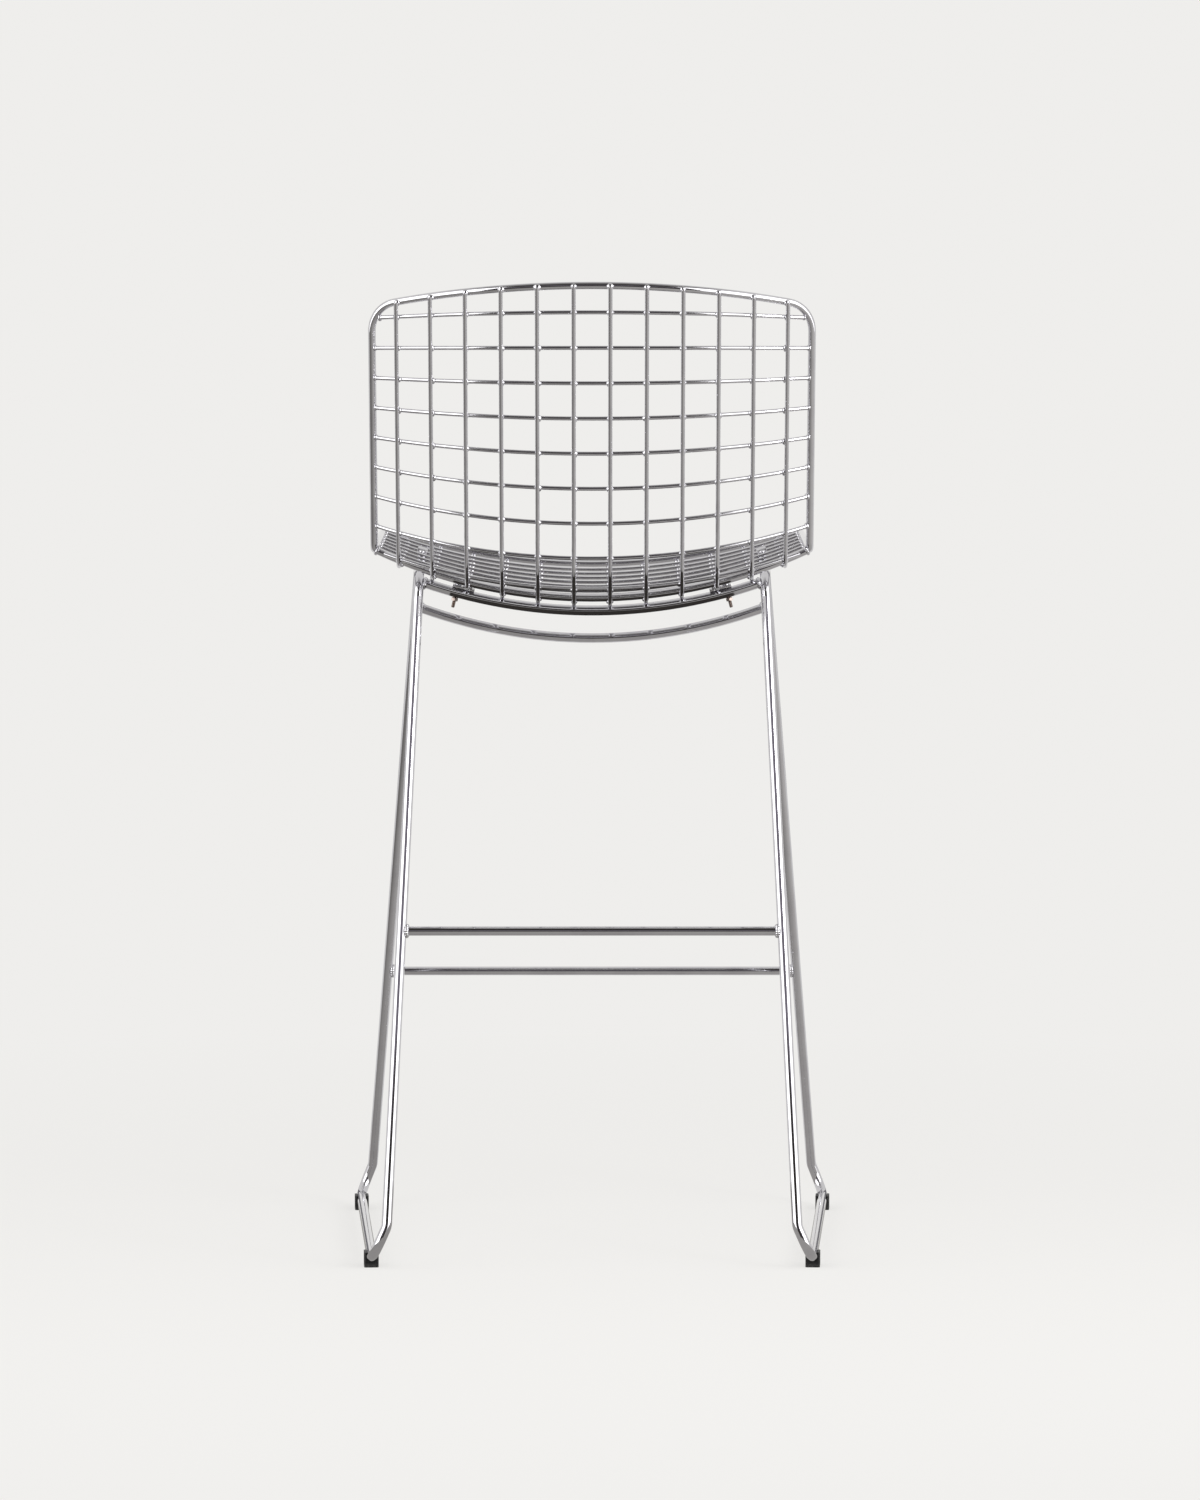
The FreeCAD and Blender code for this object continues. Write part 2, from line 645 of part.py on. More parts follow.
def clip_fasteners(places):
    """Screws through the clips and rods, and the nuts below the rods, each kind as one group."""
    screws = []
    nuts = []
    seat = frame_r + gap + size["clip_thickness"]
    for index, place in enumerate(places.values(), start=1):
        at = size["screw_offset"]
        head = cylinder(f"ScrewHead{index}", "Sizes.screw_head_diameter / 2", "Sizes.screw_head_height",
                        place * Placement(Vector(at, 0, seat), Rotation()))
        shank = cylinder(f"ScrewShank{index}", "Sizes.screw_diameter / 2",
                         "Sizes.frame_diameter + Sizes.weld_gap + Sizes.clip_thickness + Sizes.screw_tail",
                         place * Placement(Vector(at, 0, -frame_r - size["screw_tail"]), Rotation()))
        screw = doc.addObject("Part::Fuse", f"Screw{index}")
        screw.Base = head
        screw.Tool = shank
        screws.append(screw)

        below = Placement(Vector(at, 0, -frame_r - gap - size["nut_height"]), Rotation())
        blank = doc.addObject("Part::Prism", f"NutBlank{index}")
        blank.Polygon = 6
        blank.setExpression("Circumradius", "Sizes.nut_circumradius")
        blank.setExpression("Height", "Sizes.nut_height")
        blank.Placement = place * below
        bore = cylinder(f"NutBore{index}", "Sizes.screw_diameter / 2 + Sizes.weld_gap", "Sizes.nut_height",
                        place * below)
        nut = doc.addObject("Part::Cut", f"Nut{index}")
        nut.Base = blank
        nut.Tool = bore
        nuts.append(nut)
    for label, name, items in (("clip_screws", "ClipScrews", screws), ("clip_nuts", "ClipNuts", nuts)):
        group = doc.addObject("Part::Compound", name)
        group.Links = items
        add_part(label, group)


def check_document():
    """Stop if any object failed or any sub-part has no valid shape."""
    for item in doc.Objects:
        if "Invalid" in item.State or "Error" in item.State:
            raise RuntimeError(f"{item.Name} failed: {item.State}")
    for label, item in parts.items():
        if item.Shape.isNull() or not item.Shape.isValid():
            raise RuntimeError(f"{label} has no valid shape")


def main():
    """Build every sub-part and write each to its own file."""
    shell_rim()
    seat_rear_rod()
    for number in range(LONG_WIRES):
        long_wire(number)
    back_wires()
    crease_wire()
    seat_wires()
    places = clip_places()
    side_frames(places)
    crossbars(places)
    footrests()
    glides()
    for spot, place in places.items():
        seat_clip(f"seat_clip_{spot}", place)
    clip_fasteners(places)
    doc.recompute()
    check_document()
    os.makedirs("parts", exist_ok=True)
    for label, item in parts.items():
        item.Shape.exportStep(f"parts/{label}.step")


main()
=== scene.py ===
"""Looks of the wire-grid bar stool: chrome on the rods, welds, clips, screws, glides and the studio."""

import math

import bmesh
import bpy
import numpy as np
from bpy.props import FloatProperty, FloatVectorProperty, IntProperty, PointerProperty
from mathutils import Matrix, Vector
from mathutils.bvhtree import BVHTree


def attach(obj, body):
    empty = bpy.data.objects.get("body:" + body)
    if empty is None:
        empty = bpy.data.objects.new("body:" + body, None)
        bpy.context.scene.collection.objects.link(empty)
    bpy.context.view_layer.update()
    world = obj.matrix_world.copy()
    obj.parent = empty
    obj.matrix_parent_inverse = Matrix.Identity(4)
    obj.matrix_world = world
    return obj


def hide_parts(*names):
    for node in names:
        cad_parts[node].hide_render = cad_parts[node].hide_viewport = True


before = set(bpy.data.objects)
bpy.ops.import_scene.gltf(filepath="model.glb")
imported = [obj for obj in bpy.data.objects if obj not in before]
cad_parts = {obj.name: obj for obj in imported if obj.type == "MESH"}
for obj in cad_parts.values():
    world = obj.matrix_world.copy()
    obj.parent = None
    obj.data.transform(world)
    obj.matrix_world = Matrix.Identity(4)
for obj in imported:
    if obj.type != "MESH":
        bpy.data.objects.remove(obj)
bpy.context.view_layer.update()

bl_info = {
    "name": "Wire Bar Stool",
    "version": (1, 0, 0),
    "blender": (4, 5, 0),
    "location": "View3D > Sidebar > Stool",
    "description": "Welds, fittings, finishes and studio of a wire-grid bar stool",
    "category": "Object",
}

BODY = "root"
MM = 0.001
X_AXIS = (1, 0, 0)
Z_AXIS = (0, 0, 1)
AS_MADE = (1, 1, 1)

# Distances within which vertices are one
MERGE = 1e-6
FINE_MERGE = 1e-7

# Search for the welds of the grid: vertices averaged for a first guess, how far along X a wire may be from a
# crossing, the widest gap that is welded, and the middle of a lap weld from the end of its wire
NEAR_VERTICES = 24
CROSSING_REACH = 10 * MM
WELD_REACH = 1.5 * MM
LAP_INSET = 2 * MM
NUB_SEED = 7

# Weld beads: points along a bead and sides of its section
BEAD_STEPS = 128
BEAD_SIDES = 14

# Domed tips of the long wires: height as a share of the radius
TIP_DOME = 0.55

# Rounded copies, in degrees: what counts as flat, as an edge to round and as an edge that stays crisp
FLAT_DEGREES = 0.5
EDGE_DEGREES = 35
CRISP_DEGREES = 40
ROUND_SEGMENTS = 3

# Screws: depth of the foot's end face, and how far below the head the satin chrome begins
END_FACE = 0.01 * MM
HEAD_MARGIN = 0.05 * MM
SCREW_DEGREES = 38
NUT_DEGREES = 30

# Finishes: strength of the grain, its depths, and how much rougher a film of marks is
GRAIN_STRENGTH = 0.18
CHROME_GRAIN = 0.01 * MM
STEEL_GRAIN = 0.03 * MM
PLASTIC_GRAIN = 0.12 * MM
FILM_ROUGHNESS = 0.085
PLASTIC_SPECULAR = 0.25
SOLE_HEIGHT = 5 * MM

# Floor: its reach, where its shade begins to fade as a share of the fade, and its glow by the stool
FLOOR_REACH = 30.0
FADE_START = 0.25
NEAR_GLOW = 1.07

# Camera: height of its sensor in millimetres and of the picture in pixels
SENSOR_HEIGHT = 24.0
PICTURE_HEIGHT = 1500

LONG_WIRES = sorted(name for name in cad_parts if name.startswith("long_wire"))
BACK_WIRES = sorted(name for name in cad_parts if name.startswith("back_wire"))
SEAT_WIRES = sorted(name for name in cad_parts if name.startswith("seat_wire"))
CROSS_WIRES = BACK_WIRES + ["crease_wire"] + SEAT_WIRES
SIDE_FRAMES = ["side_frame_left", "side_frame_right"]
BARS = ["rear_crossbar", "front_crossbar", "rear_footrest", "front_footrest"]
CLIPS = sorted(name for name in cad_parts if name.startswith("seat_clip"))
GLIDES = sorted(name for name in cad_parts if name.startswith("glide"))


def length(name, default, description):
    """Size of a detail, in metres, from millimetres."""
    return FloatProperty(name=name, description=description, default=default * MM, min=0, precision=5,
                         subtype="DISTANCE", unit="LENGTH")


def colour(name, default, description):
    """Linear colour of a finish."""
    return FloatVectorProperty(name=name, description=description, default=default, size=3, min=0, max=1,
                               subtype="COLOR")


class StoolWeldSizes(bpy.types.PropertyGroup):
    """Sizes of the welds."""

    nub_spread: length("Nub spread", 3.9, "Half width of the weld where two wires cross")
    nub_depth: length("Nub depth", 2.75, "Half depth of the weld where two wires cross")
    lap_spread: length("Lap spread", 3.8, "Half width of the weld where a wire laps on the rim")
    lap_depth: length("Lap depth", 2.6, "Half depth of the weld where a wire laps on the rim")
    butt_spread: length("Butt spread", 3.6, "Half width of the weld at the butted end of a cross wire")
    butt_depth: length("Butt depth", 2.3, "Half depth of the weld at the butted end of a cross wire")
    bead: length("Bead", 2.0, "Radius of the bead round the end of a crossbar or the rear rod")
    footrest_bead: length("Footrest bead", 2.6, "Radius of the bead round the end of a footrest")
    ripple: FloatProperty(name="Ripple", description="Share by which a bead swells and thins", default=0.055)
    ripples: IntProperty(name="Ripples", description="Swells round one bead", default=16)
    unevenness: FloatProperty(name="Unevenness", description="Share by which the nubs differ", default=0.14)


class StoolFittingSizes(bpy.types.PropertyGroup):
    """Sizes of the clips, screws, nuts and glides."""

    clip_round: length("Clip round", 0.45, "Rounded edges of a seat clip")
    glide_round: length("Glide round", 0.7, "Rounded edges of a glide")
    screw_radius: length("Screw radius", 2.0, "Outside of the thread")
    thread_pitch: length("Thread pitch", 0.7, "Between the turns of the thread")
    thread_depth: length("Thread depth", 0.42, "From the outside of the thread to its root")
    head_radius: length("Head radius", 3.75, "Head of a clip screw")
    head_height: length("Head height", 2.6, "Head of a clip screw")
    socket_radius: length("Socket radius", 1.25, "Half the width across the flats of the socket")
    socket_depth: length("Socket depth", 1.4, "Depth of the socket")
    nut_flat: length("Nut flat", 3.46, "Half the width across the flats of a nut")
    nut_bore: length("Nut bore", 2.25, "Radius of the hole of a nut")
    nut_height: length("Nut height", 3.2, "Height of a nut")
    nut_chamfer: length("Nut chamfer", 0.5, "Height of the chamfer at the corners of a nut")


class StoolFinish(bpy.types.PropertyGroup):
    """Colours and gloss of the finishes."""

    chrome: colour("Chrome", (0.62, 0.615, 0.64), "Polished chrome plate")
    chrome_film: colour("Chrome film", (0.54, 0.53, 0.56), "Chrome under a film of handling marks")
    chrome_gloss: FloatProperty(name="Chrome roughness", description="Clean chrome plate", default=0.045)
    steel: colour("Screw steel", (0.36, 0.3, 0.272), "Zinc-plated screws and nuts")
    steel_dull: colour("Dull steel", (0.2, 0.165, 0.15), "Zinc plate in the thread and at scuffs")
    plastic: colour("Glide plastic", (0.008, 0.008, 0.009), "Moulded glides")
    plastic_scuff: colour("Scuffed plastic", (0.06, 0.058, 0.055), "Soles and edges of the glides")


class StoolStudio(bpy.types.PropertyGroup):
    """Camera, floor, light and the tints of the painted reflections."""

    camera_place: FloatVectorProperty(name="Camera", description="Place of the camera", size=3,
                                      default=(0.0, 6.744, 0.9905), subtype="TRANSLATION", unit="LENGTH")
    camera_tip: FloatProperty(name="Tip", description="Camera below level", default=math.radians(3.832),
                              subtype="ANGLE")
    camera_turn: FloatProperty(name="Turn", description="Camera to the right of the stool",
                               default=math.radians(0.0746), subtype="ANGLE")
    focal_pixels: FloatProperty(name="Focal length", description="In pixels of the 1500-pixel picture height",
                                default=6146.6)
    pale: colour("Backdrop", (0.862, 0.854, 0.838), "Floor and backdrop")
    shade: FloatProperty(name="Shade", description="Share of the floor's look that takes shadow", default=0.3)
    softbox: FloatProperty(name="Softbox", description="Radiance of the softboxes", default=1.9)
    side_lamp: FloatProperty(name="Side lamp", description="Radiance of the small lamp on the right",
                             default=16.0)
    room: FloatProperty(name="Room", description="Strength of the light from all round", default=0.55)
    fade: FloatProperty(name="Fade", description="Distance at which the floor takes no more shadow",
                        default=2.0, subtype="DISTANCE", unit="LENGTH")
    # Painted reflections: tints of glowing cards that only the chrome mirrors and that light nothing. They
    # are dark behind the camera and overhead, grey going to light across the floor, a lavender band above the
    # camera, and grey on the far side.
    dark_painted_reflection: colour("Dark cloth", (0.044, 0.04, 0.036), "Cloth behind the camera and overhead")
    grey_painted_reflection: colour("Grey cloth", (0.225, 0.217, 0.204), "Left side of the cloth on the floor")
    light_painted_reflection: colour("Light cloth", (0.64, 0.625, 0.6), "Right side of the cloth on the floor")
    band_cloth: colour("Band cloth", (0.25, 0.232, 0.27), "Band above the camera that the legs mirror")
    far_painted_reflection: colour("Far cloth", (0.2, 0.195, 0.205), "Cloth on the far side of the stool")


def settings(name):
    """One property group of the scene."""
    return getattr(bpy.context.scene, name)


def link(item):
    """Put an object in the scene."""
    bpy.context.scene.collection.objects.link(item)
    return item


def vertices_of(name):
    """Vertices of a CAD node."""
    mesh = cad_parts[name].data
    places = np.zeros(len(mesh.vertices) * 3, np.float32)
    mesh.vertices.foreach_get("co", places)
    return places.reshape(-1, 3).astype(float)


def surface_of(name):
    """Search tree over the surface of a CAD node."""
    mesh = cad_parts[name].data
    return BVHTree.FromPolygons([v.co for v in mesh.vertices], [p.vertices[:] for p in mesh.polygons])


def caps_of(name):
    """Flat ends of a rod: centre, outward direction and radius of each, from low X or Y to high."""
    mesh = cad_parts[name].data
    flats = {}
    for face in mesh.polygons:
        if not face.use_smooth:
            key = tuple(round(c, 1) for c in face.normal)
            flats.setdefault(key, []).append(face)
    rods = [(sum(face.area for face in faces), faces) for faces in flats.values()]
    rods.sort(key=lambda item: -item[0])
    caps = []
    for area, faces in rods[:2]:
        corners = {tuple(round(c, 6) for c in mesh.vertices[i].co) for face in faces for i in face.vertices}
        centre = sum((face.center * face.area for face in faces), Vector()) / area
        radius = max((Vector(corner) - centre).length for corner in corners)
        caps.append((centre, faces[0].normal.copy(), radius))
    return sorted(caps, key=lambda cap: (round(cap[0].x, 3), cap[0].y))


def islands_of(name):
    """Separate solids of a CAD node, as arrays of vertices."""
    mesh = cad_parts[name].data
    work = bmesh.new()
    work.from_mesh(mesh)
    bmesh.ops.remove_doubles(work, verts=work.verts, dist=MERGE)
    left = set(work.verts)
    islands = []
    while left:
        todo = [left.pop()]
        found = list(todo)
        while todo:
            for edge in todo.pop().link_edges:
                for corner in edge.verts:
                    if corner in left:
                        left.remove(corner)
                        todo.append(corner)
                        found.append(corner)
        islands.append(np.array([corner.co[:] for corner in found]))
    work.free()
    return sorted(islands, key=lambda island: tuple(island.mean(0).round(3)))


def touching_point(first, second, start, steps=16):
    """Point between two surfaces where they come nearest, and the direction from the first to the second."""
    on_first = Vector(start)
    for _ in range(steps):
        on_second = second.find_nearest(on_first)[0]
        on_first = first.find_nearest(on_second)[0]
    return (on_first + on_second) / 2, on_second - on_first


def points_mesh(name, spots):
    """Mesh of single points, each with the direction and stretch of what stands there."""
    mesh = bpy.data.meshes.new(name)
    mesh.from_pydata([spot[0] for spot in spots], [], [])
    for index, key in ((1, "along"), (2, "across"), (3, "stretch")):
        layer = mesh.attributes.new(key, "FLOAT_VECTOR", "POINT")
        layer.data.foreach_set("vector", np.array([spot[index] for spot in spots], np.float32).ravel())
    return mesh


def rings_mesh(name, rings, closed=False):
    """Skin over rings of points; open rings get flat ends, closed ones join last to first."""
    mesh = bpy.data.meshes.new(name)
    count = len(rings[0])
    points = [point for ring in rings for point in ring]
    faces = []
    for row in range(len(rings) if closed else len(rings) - 1):
        low = row * count
        high = (row + 1) % len(rings) * count
        for column in range(count):
            after = (column + 1) % count
            faces.append((low + column, low + after, high + after, high + column))
    if not closed:
        faces.append(tuple(reversed(range(count))))
        faces.append(tuple(range((len(rings) - 1) * count, len(rings) * count)))
    mesh.from_pydata(points, [], faces)
    mesh.validate()
    work = bmesh.new()
    work.from_mesh(mesh)
    bmesh.ops.remove_doubles(work, verts=work.verts, dist=FINE_MERGE)
    bmesh.ops.recalc_face_normals(work, faces=work.faces)
    work.to_mesh(mesh)
    work.free()
    return mesh


def turns(count):
    """Equal steps round a circle, as angles."""
    return [2 * math.pi * step / count for step in range(count)]


def circle(radius, z, segments):
    """Ring of points of one radius."""
    return [(radius * math.cos(turn), radius * math.sin(turn), z) for turn in turns(segments)]


def hexagon(flat, z, segments):
    """Ring of points on a hexagon with this distance from its middle to a flat."""
    ring = []
    for turn in turns(segments):
        off = (turn + math.pi / 6) % (math.pi / 3) - math.pi / 6
        radius = flat / math.cos(off)
        ring.append((radius * math.cos(turn), radius * math.sin(turn), z))
    return ring


def smooth(mesh):
    """Shade every face smooth."""
    for face in mesh.polygons:
        face.use_smooth = True


def sharpen(piece, degrees):
    """Smooth shading that stays crisp at edges."""
    smooth(piece.data)
    piece.data.set_sharp_from_angle(angle=math.radians(degrees))


def feed(tree, socket, value):
    """Give a node's input the output of another node, or a plain value."""
    if isinstance(value, bpy.types.NodeSocket):
        tree.links.new(value, socket)
    else:
        socket.default_value = value


def math_node(tree, operation, *values, clamp=False):
    """Result of a math node."""
    node = tree.nodes.new("ShaderNodeMath")
    node.operation = operation
    node.use_clamp = clamp
    for socket, value in zip(node.inputs, values):
        feed(tree, socket, value)
    return node.outputs[0]


def new_tree(name, sockets):
    """Geometry node tree with a geometry in and out and these further inputs."""
    tree = bpy.data.node_groups.new(name, "GeometryNodeTree")
    tree.interface.new_socket("Geometry", in_out="INPUT", socket_type="NodeSocketGeometry")
    for socket, kind in sockets:
        tree.interface.new_socket(socket, in_out="INPUT", socket_type=kind)
    tree.interface.new_socket("Geometry", in_out="OUTPUT", socket_type="NodeSocketGeometry")
    return tree, tree.nodes.new("NodeGroupInput"), tree.nodes.new("NodeGroupOutput")


def named_attribute(tree, name, kind="FLOAT_VECTOR"):
    """Attribute of the points."""
    node = tree.nodes.new("GeometryNodeInputNamedAttribute")
    node.data_type = kind
    node.inputs["Name"].default_value = name
    return node.outputs["Attribute"]


def finish_tree(tree, source, geometry, end):
    """Realize what a tree made and give it the material."""
    real = tree.nodes.new("GeometryNodeRealizeInstances")
    paint = tree.nodes.new("GeometryNodeSetMaterial")
    tree.links.new(geometry, real.inputs["Geometry"])
    tree.links.new(real.outputs["Geometry"], paint.inputs["Geometry"])
    tree.links.new(source.outputs["Material"], paint.inputs["Material"])
    tree.links.new(paint.outputs["Geometry"], end.inputs["Geometry"])


def standing_tree():
    """Tree that stands one shape at every point, turned and stretched as the point says."""
    tree, source, end = new_tree("stand_at_points", (
        ("Shape", "NodeSocketObject"), ("Unevenness", "NodeSocketFloat"), ("Seed", "NodeSocketInt"),
        ("Material", "NodeSocketMaterial"),
    ))
    new, wire = tree.nodes.new, tree.links.new
    shape = new("GeometryNodeObjectInfo")
    wire(source.outputs["Shape"], shape.inputs["Object"])
    standing = new("FunctionNodeAlignRotationToVector")
    standing.axis = "Z"
    wire(named_attribute(tree, "along"), standing.inputs["Vector"])
    twist = new("FunctionNodeAlignRotationToVector")
    twist.axis = "X"
    twist.pivot_axis = "Z"
    wire(standing.outputs["Rotation"], twist.inputs["Rotation"])
    wire(named_attribute(tree, "across"), twist.inputs["Vector"])
    chance = new("FunctionNodeRandomValue")
    chance.data_type = "FLOAT_VECTOR"
    wire(math_node(tree, "SUBTRACT", 1, source.outputs["Unevenness"]), chance.inputs["Min"])
    wire(math_node(tree, "ADD", 1, source.outputs["Unevenness"]), chance.inputs["Max"])
    wire(source.outputs["Seed"], chance.inputs["Seed"])
    grown = new("ShaderNodeVectorMath")
    grown.operation = "MULTIPLY"
    wire(named_attribute(tree, "stretch"), grown.inputs[0])
    wire(chance.outputs["Value"], grown.inputs[1])
    place = new("GeometryNodeInstanceOnPoints")
    wire(source.outputs["Geometry"], place.inputs["Points"])
    wire(shape.outputs["Geometry"], place.inputs["Instance"])
    wire(twist.outputs["Rotation"], place.inputs["Rotation"])
    wire(grown.outputs["Vector"], place.inputs["Scale"])
    finish_tree(tree, source, place.outputs["Instances"], end)
    return tree


def bead_tree():
    """Tree that lays a rippled weld bead along closed paths."""
    tree, source, end = new_tree("bead_along_paths", (
        ("Ripple", "NodeSocketFloat"), ("Ripples", "NodeSocketInt"), ("Material", "NodeSocketMaterial"),
    ))
    new, wire = tree.nodes.new, tree.links.new
    path = new("GeometryNodeMeshToCurve")
    wire(source.outputs["Geometry"], path.inputs["Mesh"])
    along = new("GeometryNodeSplineParameter").outputs["Factor"]
    swells = math_node(tree, "MULTIPLY", along, source.outputs["Ripples"])
    wave = math_node(tree, "SINE", math_node(tree, "MULTIPLY", swells, 2 * math.pi))
    swell = math_node(tree, "MULTIPLY_ADD", wave, source.outputs["Ripple"], 1)
    radius = math_node(tree, "MULTIPLY", swell, named_attribute(tree, "thickness", "FLOAT"))
    ring = new("GeometryNodeCurvePrimitiveCircle")
    ring.inputs["Resolution"].default_value = BEAD_SIDES
    ring.inputs["Radius"].default_value = 1
    skin = new("GeometryNodeCurveToMesh")
    wire(path.outputs["Curve"], skin.inputs["Curve"])
    wire(radius, skin.inputs["Scale"])
    wire(ring.outputs["Curve"], skin.inputs["Profile Curve"])
    shaded = new("GeometryNodeSetShadeSmooth")
    wire(skin.outputs["Mesh"], shaded.inputs["Geometry"])
    finish_tree(tree, source, shaded.outputs["Geometry"], end)
    return tree


def shared_tree(maker, name):
    """A tree that is built once."""
    return bpy.data.node_groups.get(name) or maker()


def plain_piece(source, name):
    """Piece with the evaluated mesh of a helper object, which is removed."""
    depsgraph = bpy.context.evaluated_depsgraph_get()
    mesh = bpy.data.meshes.new_from_object(source.evaluated_get(depsgraph), depsgraph=depsgraph)
    bpy.data.objects.remove(source)
    mesh.name = name
    return link(bpy.data.objects.new(name, mesh))


def grow(name, mesh, tree, values):
    """Run a tree on a mesh of points or paths and keep the result as a plain mesh."""
    source = link(bpy.data.objects.new(f"{name}_source", mesh))
    modifier = source.modifiers.new("Grow", "NODES")
    modifier.node_group = tree
    for socket in tree.interface.items_tree:
        if socket.in_out == "INPUT" and socket.name in values:
            modifier[socket.identifier] = values[socket.name]
    return plain_piece(source, name)


def stand(name, spots, shape_mesh, material, unevenness=0.0, seed=1):
    """Stand a shape at every spot, as one piece."""
    shape = link(bpy.data.objects.new(f"{name}_shape", shape_mesh))
    values = {"Shape": shape, "Unevenness": unevenness, "Seed": seed, "Material": material}
    piece = grow(name, points_mesh(name, spots), shared_tree(standing_tree, "stand_at_points"), values)
    bpy.data.objects.remove(shape)
    return piece


def keep(piece, nodes=()):
    """Let a piece ride on the stool and stand for CAD nodes, which are hidden."""
    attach(piece, BODY)
    if nodes:
        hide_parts(*nodes)


def shader_group(name, inputs, outputs):
    """Empty shader node group with named sockets."""
    group = bpy.data.node_groups.new(name, "ShaderNodeTree")
    for socket, kind, default in inputs:
        made = group.interface.new_socket(socket, in_out="INPUT", socket_type=kind)
        made.default_value = default
    for socket, kind in outputs:
        group.interface.new_socket(socket, in_out="OUTPUT", socket_type=kind)
    return group, group.nodes.new("NodeGroupInput"), group.nodes.new("NodeGroupOutput")


def noise(tree, vector, scale, detail, roughness=0.5):
    """Noise texture on a vector."""
    node = tree.nodes.new("ShaderNodeTexNoise")
    given = {"Vector": vector, "Scale": scale, "Detail": detail, "Roughness": roughness}
    for socket, value in given.items():
        feed(tree, node.inputs[socket], value)
    return node.outputs["Fac"]


def spread_range(tree, value, low, high, to_low=0.0, to_high=1.0):
    """Map a value from one range to another, held at the ends."""
    node = tree.nodes.new("ShaderNodeMapRange")
    given = {"Value": value, "From Min": low, "From Max": high, "To Min": to_low, "To Max": to_high}
    for socket, part in given.items():
        feed(tree, node.inputs[socket], part)
    return node.outputs["Result"]


def colour_mix(tree, share, first, second):
    """Node that mixes two colours."""
    mix = tree.nodes.new("ShaderNodeMix")
    mix.data_type = "RGBA"
    mix.inputs["A"].default_value = (*first, 1)
    mix.inputs["B"].default_value = (*second, 1)
    tree.links.new(share, mix.inputs["Factor"])
    return mix


def object_axis(tree, axis):
    """One of the object coordinates."""
    parts = tree.nodes.new("ShaderNodeSeparateXYZ")
    tree.links.new(tree.nodes.new("ShaderNodeTexCoord").outputs["Object"], parts.inputs["Vector"])
    return parts.outputs[axis]


def handling_group():
    """Marks of handling: a soft film, fine wiping lines and a grain, over object coordinates."""
    group, source, end = shader_group("handling_marks", (
        ("Film scale", "NodeSocketFloat", 22.0), ("Grain scale", "NodeSocketFloat", 900.0),
        ("Clean", "NodeSocketFloat", 0.05), ("Marked", "NodeSocketFloat", 0.15),
    ), (("Film", "NodeSocketFloat"), ("Roughness", "NodeSocketFloat"), ("Grain", "NodeSocketFloat")))
    new, wire = group.nodes.new, group.links.new
    place = new("ShaderNodeTexCoord").outputs["Object"]
    film = noise(group, place, source.outputs["Film scale"], detail=5.0, roughness=0.62)
    film_mask = spread_range(group, film, 0.46, 0.72)
    stretched = new("ShaderNodeMapping")
    stretched.inputs["Scale"].default_value = (1.0, 1.0, 14.0)
    wire(place, stretched.inputs["Vector"])
    wipes = noise(group, stretched.outputs["Vector"], scale=160.0, detail=3.0)
    wipe_mask = spread_range(group, wipes, 0.52, 0.78)
    wipe_weight = 0.35
    both = math_node(group, "MULTIPLY_ADD", wipe_mask, wipe_weight, film_mask, clamp=True)
    rough = spread_range(group, both, 0.0, 1.0, source.outputs["Clean"], source.outputs["Marked"])
    grain = noise(group, place, source.outputs["Grain scale"], detail=2.0)
    wire(both, end.inputs["Film"])
    wire(rough, end.inputs["Roughness"])
    wire(grain, end.inputs["Grain"])
    return group


def marked_material(name, clean_colour, marked_colour, values, metallic, grain_depth):
    """Material whose colour, roughness and grain follow the marks of handling."""
    material = bpy.data.materials.new(name)
    material.use_nodes = True
    tree = material.node_tree
    shader = tree.nodes["Principled BSDF"]
    marks = tree.nodes.new("ShaderNodeGroup")
    marks.name = "Marks"
    marks.node_tree = bpy.data.node_groups.get("handling_marks") or handling_group()
    for socket, value in values.items():
        marks.inputs[socket].default_value = value
    tint = colour_mix(tree, marks.outputs["Film"], clean_colour, marked_colour)
    tint.name = "Tint"
    bump = tree.nodes.new("ShaderNodeBump")
    bump.inputs["Strength"].default_value = GRAIN_STRENGTH
    bump.inputs["Distance"].default_value = grain_depth
    shader.inputs["Metallic"].default_value = metallic
    tree.links.new(tint.outputs["Result"], shader.inputs["Base Color"])
    tree.links.new(marks.outputs["Roughness"], shader.inputs["Roughness"])
    tree.links.new(marks.outputs["Grain"], bump.inputs["Height"])
    tree.links.new(bump.outputs["Normal"], shader.inputs["Normal"])
    return material


def chrome_material(name, film_scale, gloss_share=1.0):
    """Polished chrome plate of one kind of rod."""
    finish = settings("stool_finish")
    gloss = finish.chrome_gloss * gloss_share
    values = {"Film scale": film_scale, "Grain scale": 1400.0, "Clean": gloss,
              "Marked": gloss + FILM_ROUGHNESS}
    return marked_material(name, finish.chrome, finish.chrome_film, values, 1.0, CHROME_GRAIN)


def shared_material(name, maker, *values):
    """A material that is built once."""
    return bpy.data.materials.get(name) or maker(name, *values)


def wire_material():
    """Chrome of the wires."""
    return shared_material("wire_chrome", chrome_material, 34.0, 1.3)


def weld_material():
    """Chrome over the rougher metal of a weld."""
    return shared_material("weld_chrome", chrome_material, 140.0, 2.2)


def clip_material():
    """Satin chrome of the pressed clips and the screw heads."""
    return shared_material("satin_chrome", chrome_material, 90.0, 5.0)


def steel_material():
    """Yellowed zinc plate of the screws and nuts."""
    finish = settings("stool_finish")
    values = {"Film scale": 260.0, "Grain scale": 2600.0, "Clean": 0.26, "Marked": 0.48}
    return shared_material("zinc_steel", marked_material, finish.steel, finish.steel_dull, values, 1.0,
                           STEEL_GRAIN)


